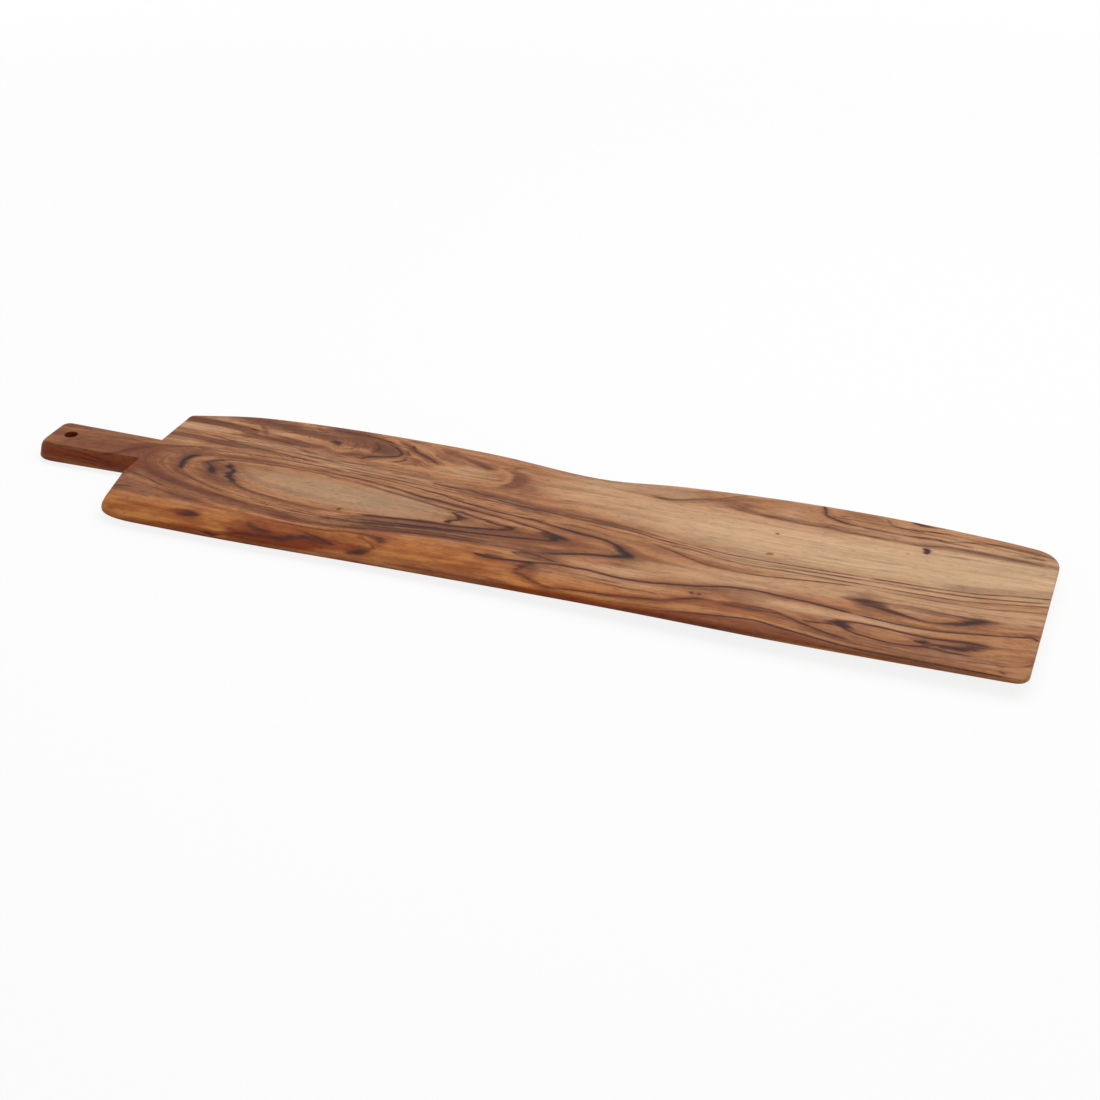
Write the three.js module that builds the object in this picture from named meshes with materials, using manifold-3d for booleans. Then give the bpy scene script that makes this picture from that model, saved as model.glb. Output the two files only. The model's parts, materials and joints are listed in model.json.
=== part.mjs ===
// Long serving board with a live edge, glued up from three staves.
// The middle stave runs on past the shoulders as the handle, and a loose tongue lines up each glue joint.
// Millimetres. X runs along the board to its wide end, Y across it to the live edge, Z up from the underside.
import * as THREE from "three";
import { mergeVertices } from "three/addons/utils/BufferGeometryUtils.js";
import Module from "manifold-3d";

const wasm = await Module();
wasm.setup();

// Whole board
const LENGTH = 1000;
const WIDTH = 241;
const THICKNESS = 18;

// Handle
const HANDLE_LENGTH = 117;
const HANDLE_WIDTH = 62;
const HANDLE_FLARE = 3; // how much wider the free end is than the root
const HANDLE_OFFSET = 5; // centre line, from the middle of the board towards the live edge
const HANDLE_FAR_CORNER = 12;
const HANDLE_NEAR_CORNER = 24;
const HANDLE_ROUND = 8.5; // radius along its upper edge at the end and on the far side
const HANDLE_FACET = 11; // width of the flat slope along its upper edge on the near side
const HANDLE_LIP = 4; // height of its lower edge
const HANDLE_BEVEL = 8; // width of the bevel from the lower edge to the underside
const HANDLE_ROOT = 10; // how far it runs on into the body past the bevel under the shoulder
const HOLE_DIAMETER = 14;
const HOLE_INSET = 25.5; // from the end of the handle to the centre of the hole
const HOLE_OFFSET = 3; // from the handle's centre line towards the live edge

// Far edge, left as it grew: pairs of share of the body's length and distance in from the widest line
const FAR_START = 29.5;
const FAR_END = 19;
const FAR_EDGE = [[0.08, 10], [0.18, 3.2], [0.28, 2.8], [0.38, 6.5], [0.5, 19.5],
  [0.59, 8.5], [0.68, 1.8], [0.765, 0], [0.85, 2.6], [0.935, 10]];

// Near edge, sawn and then dressed by hand: the same kind of pairs
const NEAR_START = 5.2;
const NEAR_END = 3;
const NEAR_EDGE = [[0.18, 4.7], [0.37, 8.5], [0.59, 4.5], [0.78, 0]];

// Corners, measured along the two edges that meet there
const FAR_SHOULDER_CORNER = 5;
const FAR_WIDE_CORNER = 25;
const NEAR_WIDE_CORNER = 12;
const NEAR_SHOULDER_RISE = 18; // this corner leaves the shoulder so far up, and the edge so far along
const NEAR_SHOULDER_RUN = 40;
const SHOULDER_STRAIGHT = 18; // the near shoulder runs square for so long, and then leans back
const SHOULDER_SETBACK = 11; // by so much at the near edge
const CORNER_PULL = 0.6; // share of the way to the corner of a round corner's control points

// Edge profile: rounded above, a short upright band, and a flat bevel to the underside
const EDGE_ROUND = 2;
const EDGE_BAND = 2.5;
const UNDERCUT = 20;

// Wane along the near edge, where the top slopes down: its width at three shares of the body's length
const WANE = [[0.33, 38], [0.6, 16], [0.88, 4]];
const WANE_FALL = 0.19; // drop for each millimetre of width past the plain edge round

// Glue joints
const GLUE_LINE = 0.3;
const TONGUE_WIDTH = 16;
const TONGUE_THICKNESS = 4;
const TONGUE_STOP = 90; // from each end of the body to the end of a tongue
const TONGUE_CLEARANCE = 0.25;

// Fineness of the curves
const EDGE_STEPS = 7;
const CORNER_STEPS = 8;
const ROUND_STEPS = 5;
const HOLE_SIDES = 24;

const shoulderX = HANDLE_LENGTH - LENGTH / 2;
const wideEndX = LENGTH / 2;
const farJoint = HANDLE_OFFSET + HANDLE_WIDTH / 2;
const nearJoint = HANDLE_OFFSET - HANDLE_WIDTH / 2;

function solid(geometry) {
  geometry.deleteAttribute("normal");
  geometry.deleteAttribute("uv");
  const merged = mergeVertices(geometry);
  return new wasm.Manifold(new wasm.Mesh({
    numProp: 3,
    vertProperties: new Float32Array(merged.attributes.position.array),
    triVerts: new Uint32Array(merged.index.array),
  }));
}

function shape(body) {
  const mesh = body.getMesh();
  const geometry = new THREE.BufferGeometry();
  geometry.setAttribute("position", new THREE.BufferAttribute(mesh.vertProperties, 3));
  geometry.setIndex(new THREE.BufferAttribute(mesh.triVerts, 1));
  geometry.computeVertexNormals();
  return geometry;
}

// A closed skin over rings of equally many points, each ring above the next, with flat caps
function loft(rings) {
  const count = rings[0].length;
  const position = rings.flat().flatMap((point) => [point.x, point.y, point.z]);
  const index = [];
  for (let ring = 0; ring + 1 < rings.length; ring += 1) {
    for (let here = 0; here < count; here += 1) {
      const next = (here + 1) % count;
      const [a, b] = [ring * count + here, ring * count + next];
      index.push(a, a + count, b, b, a + count, b + count);
    }
  }
  const last = (rings.length - 1) * count;
  for (const [a, b, c] of THREE.ShapeUtils.triangulateShape(rings[0], [])) {
    index.push(a, b, c);
  }
  for (const [a, b, c] of THREE.ShapeUtils.triangulateShape(rings.at(-1), [])) {
    index.push(last + a, last + c, last + b);
  }
  const geometry = new THREE.BufferGeometry();
  geometry.setAttribute("position", new THREE.Float32BufferAttribute(position, 3));
  geometry.setIndex(index);
  return geometry;
}

function smooth(points) {
  const curve = new THREE.SplineCurve(points);
  const steps = (points.length - 1) * EDGE_STEPS;
  return Array.from({ length: steps + 1 }, (_, step) => curve.getPoint(step / steps));
}

function towards(from, to, distance) {
  return to.clone().sub(from).setLength(distance).add(from);
}

// A corner that leaves the apex by sizeIn and sizeOut along the lines to its neighbours
function corner(before, apex, after, sizeIn, sizeOut) {
  const start = towards(apex, before, Math.max(sizeIn, EDGE_ROUND / 2));
  const end = towards(apex, after, Math.max(sizeOut, EDGE_ROUND / 2));
  const curve = new THREE.CubicBezierCurve(
    start, start.clone().lerp(apex, CORNER_PULL), end.clone().lerp(apex, CORNER_PULL), end);
  return curve.getPoints(CORNER_STEPS);
}

function waneWidth(share) {
  const [first, middle, last] = WANE;
  const [from, to] = share < middle[0] ? [first, middle] : [middle, last];
  return THREE.MathUtils.lerp(from[1], to[1], THREE.MathUtils.smoothstep(share, from[0], to[0]));
}

// The body seen from above, drawn in by the given amounts, anticlockwise from its wide end
function bodyOutline({ end, far, near }) {
  const left = shoulderX + end;
  const right = wideEndX - end;
  const place = (share, y) => new THREE.Vector2(THREE.MathUtils.lerp(left, right, share), y);
  const farPoint = (share, depth) => place(share, WIDTH / 2 - depth - far);
  const nearPoint = (share, depth) => place(share, depth - WIDTH / 2 + near(share));
  const farMiddle = FAR_EDGE.map(([share, depth]) => farPoint(share, depth)).reverse();
  const nearMiddle = NEAR_EDGE.map(([share, depth]) => nearPoint(share, depth));
  const farRight = farPoint(1, FAR_END);
  const farLeft = farPoint(0, FAR_START);
  const lean = new THREE.Vector2(left, nearJoint - SHOULDER_STRAIGHT);
  const nearLeft = nearPoint(0, NEAR_START);
  nearLeft.x += SHOULDER_SETBACK;
  const nearRight = nearPoint(1, NEAR_END);
  const wideFar = corner(
    nearRight, farRight, farMiddle[0], FAR_WIDE_CORNER - far, FAR_WIDE_CORNER - end);
  const shoulderFar = corner(
    farMiddle.at(-1), farLeft, lean, FAR_SHOULDER_CORNER - end, FAR_SHOULDER_CORNER - far);
  const shoulderNear = corner(
    lean, nearLeft, nearMiddle[0], NEAR_SHOULDER_RISE, NEAR_SHOULDER_RUN - end);
  const wideNear = corner(
    nearMiddle.at(-1), nearRight, farRight, NEAR_WIDE_CORNER - end, NEAR_WIDE_CORNER - near(1));
  const farCurve = smooth([wideFar.at(-1), ...farMiddle, shoulderFar[0]]);
  const nearCurve = smooth([shoulderNear.at(-1), ...nearMiddle, wideNear[0]]);
  return [
    ...wideFar, ...farCurve.slice(1, -1), ...shoulderFar, lean,
    ...shoulderNear, ...nearCurve.slice(1, -1), ...wideNear,
  ];
}

function roundSteps() {
  return Array.from({ length: ROUND_STEPS + 1 }, (_, step) => (step / ROUND_STEPS) * (Math.PI / 2));
}

// The three staves before they are ripped apart, without the handle
function bodySolid() {
  const rim = bodyOutline({ end: 0, far: 0, near: () => 0 });
  const top = bodyOutline({ end: EDGE_ROUND, far: EDGE_ROUND, near: waneWidth });
  const foot = bodyOutline({ end: UNDERCUT, far: UNDERCUT, near: () => UNDERCUT });
  const drop = rim.map((point, i) =>
    EDGE_ROUND + Math.max(point.distanceTo(top[i]) - EDGE_ROUND, 0) * WANE_FALL);
  const ring = (inner, share, height) => rim.map((point, i) => {
    const moved = point.clone().lerp(inner[i], share);
    return new THREE.Vector3(moved.x, moved.y, height(i));
  });
  const above = roundSteps().reverse().map((angle) =>
    ring(top, 1 - Math.cos(angle), (i) => THICKNESS - drop[i] * (1 - Math.sin(angle))));
  const band = ring(rim, 0, (i) => THICKNESS - drop[i] - EDGE_BAND);
  const underside = ring(foot, 1, () => 0);
  return solid(loft([...above, band, underside]));
}

// The handle seen from above at the height z, drawn in by the given amounts, running on into the body
function handleRing(z, inset, nearInset) {
  const end = -LENGTH / 2 + inset;
  const root = shoulderX + UNDERCUT + HANDLE_ROOT;
  const far = HANDLE_OFFSET + HANDLE_WIDTH / 2 - inset;
  const near = HANDLE_OFFSET - HANDLE_WIDTH / 2 + nearInset;
  const flare = HANDLE_FLARE / 2;
  const farRoot = new THREE.Vector2(root, far - flare);
  const farEnd = new THREE.Vector2(end, far + flare);
  const nearEnd = new THREE.Vector2(end, near - flare);
  const nearRoot = new THREE.Vector2(root, near + flare);
  const farCorner = corner(
    farRoot, farEnd, nearEnd, HANDLE_FAR_CORNER - inset, HANDLE_FAR_CORNER - inset);
  const nearCorner = corner(
    farEnd, nearEnd, nearRoot, HANDLE_NEAR_CORNER - nearInset, HANDLE_NEAR_CORNER - inset);
  const outline = [farRoot, ...farCorner, ...nearCorner, nearRoot];
  return outline.map((point) => new THREE.Vector3(point.x, point.y, z));
}

function handleSolid() {
  const above = roundSteps().reverse().map((angle) => {
    const z = THICKNESS - HANDLE_ROUND * (1 - Math.sin(angle));
    const facet = HANDLE_FACET * ((z - HANDLE_LIP) / (THICKNESS - HANDLE_LIP));
    return handleRing(z, HANDLE_ROUND * (1 - Math.cos(angle)), facet);
  });
  const lip = handleRing(HANDLE_LIP, 0, 0);
  const underside = handleRing(0, HANDLE_BEVEL, HANDLE_BEVEL);
  return solid(loft([...above, lip, underside]));
}

function hangHole() {
  const drill = new THREE.CylinderGeometry(
    HOLE_DIAMETER / 2, HOLE_DIAMETER / 2, THICKNESS * 2, HOLE_SIDES);
  drill.rotateX(Math.PI / 2);
  drill.translate(HOLE_INSET - LENGTH / 2, HANDLE_OFFSET + HOLE_OFFSET, THICKNESS / 2);
  return solid(drill);
}

// A block across the whole board between two lines, to part the staves along their glue joints
function between(low, high) {
  const block = new THREE.BoxGeometry(LENGTH * 2, high - low, THICKNESS * 4);
  block.translate(0, (low + high) / 2, 0);
  return solid(block);
}

// A tongue with round ends lying in the joint at y, or with a clearance the groove cut for it
function tongue(y, clearance) {
  const half = TONGUE_WIDTH / 2 + clearance;
  const reach = (wideEndX - shoulderX) / 2 - TONGUE_STOP - TONGUE_WIDTH / 2;
  const plan = new THREE.Shape();
  plan.absarc(reach, 0, half, -Math.PI / 2, Math.PI / 2);
  plan.absarc(-reach, 0, half, Math.PI / 2, (Math.PI * 3) / 2);
  const thickness = TONGUE_THICKNESS + clearance * 2;
  const strip = new THREE.ExtrudeGeometry(
    plan, { depth: thickness, bevelEnabled: false, curveSegments: CORNER_STEPS });
  strip.translate((wideEndX + shoulderX) / 2, y, (THICKNESS - thickness) / 2);
  return strip;
}

function wood(colour, roughness) {
  return new THREE.MeshStandardMaterial({ color: colour, roughness, metalness: 0 });
}

function piece(name, geometry, material) {
  const mesh = new THREE.Mesh(geometry, material);
  mesh.name = name;
  return mesh;
}

const body = bodySolid();
const farGroove = solid(tongue(farJoint, TONGUE_CLEARANCE));
const nearGroove = solid(tongue(nearJoint, TONGUE_CLEARANCE));
const farSide = between(farJoint + GLUE_LINE / 2, WIDTH);
const middle = between(nearJoint + GLUE_LINE / 2, farJoint - GLUE_LINE / 2);
const nearSide = between(-WIDTH, nearJoint - GLUE_LINE / 2);

const farStave = body.intersect(farSide).subtract(farGroove);
const nearStave = body.intersect(nearSide).subtract(nearGroove);
const centreStave = body.intersect(middle).add(handleSolid())
  .subtract(hangHole()).subtract(farGroove).subtract(nearGroove);

const board = new THREE.Group();
board.add(
  piece("far_stave", shape(farStave), wood(0xa87950, 0.55)),
  piece("centre_stave", shape(centreStave), wood(0x95684a, 0.55)),
  piece("near_stave", shape(nearStave), wood(0xa5713f, 0.55)),
  piece("far_tongue", tongue(farJoint, 0), wood(0xb98f62, 0.75)),
  piece("near_tongue", tongue(nearJoint, 0), wood(0xb98f62, 0.75)),
);

export default board;
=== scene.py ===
"""Looks of the serving board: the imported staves, painted with the figure of their wood, on a white floor."""
import json
import math

import bmesh
import bpy
import numpy as np
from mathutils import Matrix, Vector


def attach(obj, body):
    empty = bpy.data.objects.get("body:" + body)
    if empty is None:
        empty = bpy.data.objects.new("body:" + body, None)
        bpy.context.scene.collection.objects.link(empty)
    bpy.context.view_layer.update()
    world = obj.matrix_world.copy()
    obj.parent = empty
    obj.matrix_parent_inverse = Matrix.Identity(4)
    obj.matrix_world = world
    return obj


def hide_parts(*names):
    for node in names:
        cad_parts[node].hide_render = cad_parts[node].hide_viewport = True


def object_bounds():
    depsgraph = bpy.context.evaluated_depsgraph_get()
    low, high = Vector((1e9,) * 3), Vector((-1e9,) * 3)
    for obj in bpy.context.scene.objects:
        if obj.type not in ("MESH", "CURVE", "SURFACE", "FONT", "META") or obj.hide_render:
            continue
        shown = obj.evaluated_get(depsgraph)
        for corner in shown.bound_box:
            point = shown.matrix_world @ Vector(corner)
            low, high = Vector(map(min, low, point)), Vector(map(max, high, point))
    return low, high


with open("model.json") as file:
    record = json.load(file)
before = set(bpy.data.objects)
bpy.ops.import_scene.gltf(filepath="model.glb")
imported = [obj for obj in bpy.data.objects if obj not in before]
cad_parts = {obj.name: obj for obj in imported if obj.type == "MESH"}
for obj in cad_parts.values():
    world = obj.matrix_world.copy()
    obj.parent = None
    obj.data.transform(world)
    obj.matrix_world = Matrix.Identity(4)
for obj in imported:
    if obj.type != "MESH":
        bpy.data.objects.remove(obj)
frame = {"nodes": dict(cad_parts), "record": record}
cad_low, cad_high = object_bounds()

MM = 0.001

# Camera, solved from the photograph: metres, degrees, and millimetres of lens on a sensor of SENSOR
CAMERA_PLACE = (0.58409, -1.47354, 0.87650)
CAMERA_TILT = 60.5
CAMERA_TURN = 20.1
CAMERA_LENS = 63.03
SENSOR = 36.0

# Light: a soft white room and a wide lamp overhead
WHITE = (1, 1, 1, 1)
ROOM_STRENGTH = 0.42
LAMP_POWER = 32.0
LAMP_SIZE = 2.4
LAMP_PLACE = (0.25, 0.55, 1.9)

# Floor, in metres: near the board a share of it is plain white, the rest takes the shadow, and all of it is
# white from the second distance of FLOOR_FADE on
FLOOR_SIZE = 60.0
FLOOR_DROP = 0.0003
FLOOR_TONE = (0.95, 0.95, 0.95, 1)
FLOOR_WHITE = 0.86
FLOOR_FADE = (0.6, 2.5)

# Mesh of the staves, in millimetres and degrees: the glue line that closes up, the first cuts, and the
# longest edges along X, Y and Z, fine above the height UNDERSIDE and coarse below it
GLUE_LINE = 0.3
JOINT_SLACK = 0.01
MERGE = 0.001
FLAT_ANGLE = 0.1
SHARP_ANGLE = 34.0
GRID = 24.0
FINE_EDGE = (3.6, 1.3, 1.3)
COARSE_EDGE = (6.0, 3.0, 3.0)
UNDERSIDE = 2.0

# The painted raster, in millimetres. A point under the top takes what the photograph shows in front of it,
# so the figure runs on over the sloping edge: LEAN is how far along and across for each millimetre of
# depth. UNDERSIDE_SHARE is what the underside keeps of ink, brown and pale. Look-ups stay INSIDE cells
# short of the end.
CELL = 1.0
INSIDE = 1.001
RASTER_LOW = (-520.0, -165.0)
RASTER_HIGH = (520.0, 140.0)
LEAN = (0.607, -1.66)
UNDERSIDE_SHARE = (0.0, 0.7, 1.0)

# Wall of the hang hole, painted dark warm brown as painted shade inside it: how far out it reaches in widths
# of the frame's opening, the depth in millimetres where it starts, and what it carries
HOLE_REACH = 0.85
HOLE_RIM = 1.5
HOLE_WALL_SHADE = {"figure": (0.0, 1.2, 0.0), "tint": (0.6, 0.0, 0.0), "growth": (0.0, 0.0, 0.0)}

# Tones of the wood, linear
HEART = (0.440, 0.190, 0.080, 1)
SAP = (0.625, 0.405, 0.235, 1)
ORANGE = (0.475, 0.170, 0.038, 1)
PURPLE = (0.100, 0.024, 0.012, 1)
RUST = (0.150, 0.012, 0.001, 1)
DARK = (0.090, 0.028, 0.014, 1)
BLACK = (0.018, 0.009, 0.007, 1)
EMBER = (0.050, 0.010, 0.004, 1)
TAN = (0.490, 0.250, 0.115, 1)
GREY = (0.280, 0.205, 0.130, 1)
RAW_PALE = (0.55, 0.38, 0.21, 1)
RAW_BROWN = (0.36, 0.22, 0.11, 1)
RAW_DARK = (0.22, 0.12, 0.055, 1)

# Noise in the wood: waves to a metre along X, Y and Z, detail, roughness and an offset
FIBRE = ((50, 330, 330), 4.0, 0.65, 0.0)
BAND = ((7, 190, 190), 3.0, 0.6, 3.1)
PORE = ((120, 480, 480), 2.0, 0.5, 7.7)
MURK = ((24, 38, 38), 3.0, 0.6, 11.3)
RAW_FIBRE = ((25, 700, 700), 4.0, 0.6, 0.0)
RAW_BAND = ((5, 160, 160), 2.0, 0.5, 5.3)

# Rings: noise over the distance to the nearest line, bent by soft noise; they darken between RING_EDGES
RING_BEND = 3.2
RING_PACE = 0.34
RING_NOISE = {"Scale": 1.0, "Detail": 2.0, "Roughness": 0.65}
RING_EDGES = (0.42, 0.68)
RING_MIDDLE = 0.4

# Brown: what pale wood keeps of the noise, what each noise adds, and how fast and how far brown covers
SAP_NOISE = 0.25
BAND_BROWN = 0.75
FIBRE_BROWN = 0.55
RING_BROWN = 0.5
MURK_BROWN = 1.4
MURK_MIDDLE = 0.45
BROWN_PACE = -2.0
BROWN_MOST = 0.95

# Ground: how fast a lack of brown turns tan, what sap leaves of the orange, what tan adds to it, how bands
# shift sap and orange, where warm brown turns from purple to rust, and which fibres take the grey of
# stains and painted sheen
TAN_PACE = -1.1
SAP_ORANGE = 0.4
TAN_ORANGE = -0.85
BAND_SAP = 0.25
BAND_ORANGE = 0.3
RUST_EDGES = (0.0, 0.8)
STAIN_AND_SHEEN_EDGES = (0.3, 0.6)

# Ink: how ragged fibres make it, where it starts, covers and turns black, and how far warm wood tints it
INK_RAGGED = 1.8
INK_START = (0.02, 0.1)
INK_EDGES = (0.02, 0.75)
BLACK_EDGES = (0.5, 1.15)
EMBER_SHARE = 0.8

# Light and dark of the fibres, streaks and pores, and the relief and gloss of oiled and raw wood
FIBRE_LIGHT = 0.65
STREAK_LIGHT = 0.075
PORE_DARK = 0.8
PORE_LIGHT = 1.03
PORE_EDGES = (0.34, 0.5)
SAP_PORE = 0.1
OILED_BUMP = {"Strength": 0.25, "Distance": 0.0004}
OILED_GLOSS = (0.3, 0.7, 0.42, 0.56)
OILED_SPECULAR = 0.1
RAW_BUMP = {"Strength": 0.3, "Distance": 0.0004}
RAW_GLOSS = (0.3, 0.7, 0.68, 0.8)
RAW_SPECULAR = 0.5
RAW_EDGES = (0.35, 0.7, 0.0, 0.35)

# Strokes: the scale of an end that gives none, the thinnest scale, the spacing of points, the length from
# which a line leads grain and rings, and how the covers fall off over half widths
TAPER = 0.3
THINNEST = 0.05
CURVE_STEP = 2.5
LONG_LINE = 25.0
LINE_FALL = 1.5
SHOULDER_HEIGHT = 0.6
SHOULDER_WIDTH = 2.8
PATCH_EDGES = (0.3, 1.6)

# Lines of a bundle, drawn at random between two numbers: place, start, length, strength and width
BUNDLE_POINTS = 24
BUNDLE_PLACE = (0.1, 0.9)
BUNDLE_START = (0, 0.6)
BUNDLE_LENGTH = (0.3, 0.8)
BUNDLE_STRENGTH = (0.5, 1.3)
BUNDLE_WIDTH = (0.8, 1.3)

# Grain: at every GRAIN_SKIP cells it follows steps along the lines, less so with distance and across,
# beside a plain pull along the board
GRAIN_SKIP = 5
GRAIN_STEP = 6.0
GRAIN_PLAIN = 0.0004
GRAIN_ACROSS = 2.5
GRAIN_NEAR = 30.0
GRAIN_FALL = 1.6

# Fields: how much strokes and noise put in, what pale and warm wood keeps of the brown noise, how lively
# calm and warm wood is, how far rings go from a line, and how much distance along the board counts there
INK_AMOUNT = 1.2
BROWN_AMOUNT = 1.2
SHOULDER_AMOUNT = 0.6
BUNDLE_LOSS = 0.7
FEATHER_PULL = 3.0
PLAIN_BROWN = 0.05
BROAD_BROWN = 0.18
FINE_BROWN = 0.10
PALE_KEEPS = 0.15
WARM_KEEPS = 0.6
CALM_LIVELY = 0.3
WARM_LIVELY = 0.15
RING_REACH = 18.0
SQUEEZE = 0.3
SEED = 11
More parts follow.
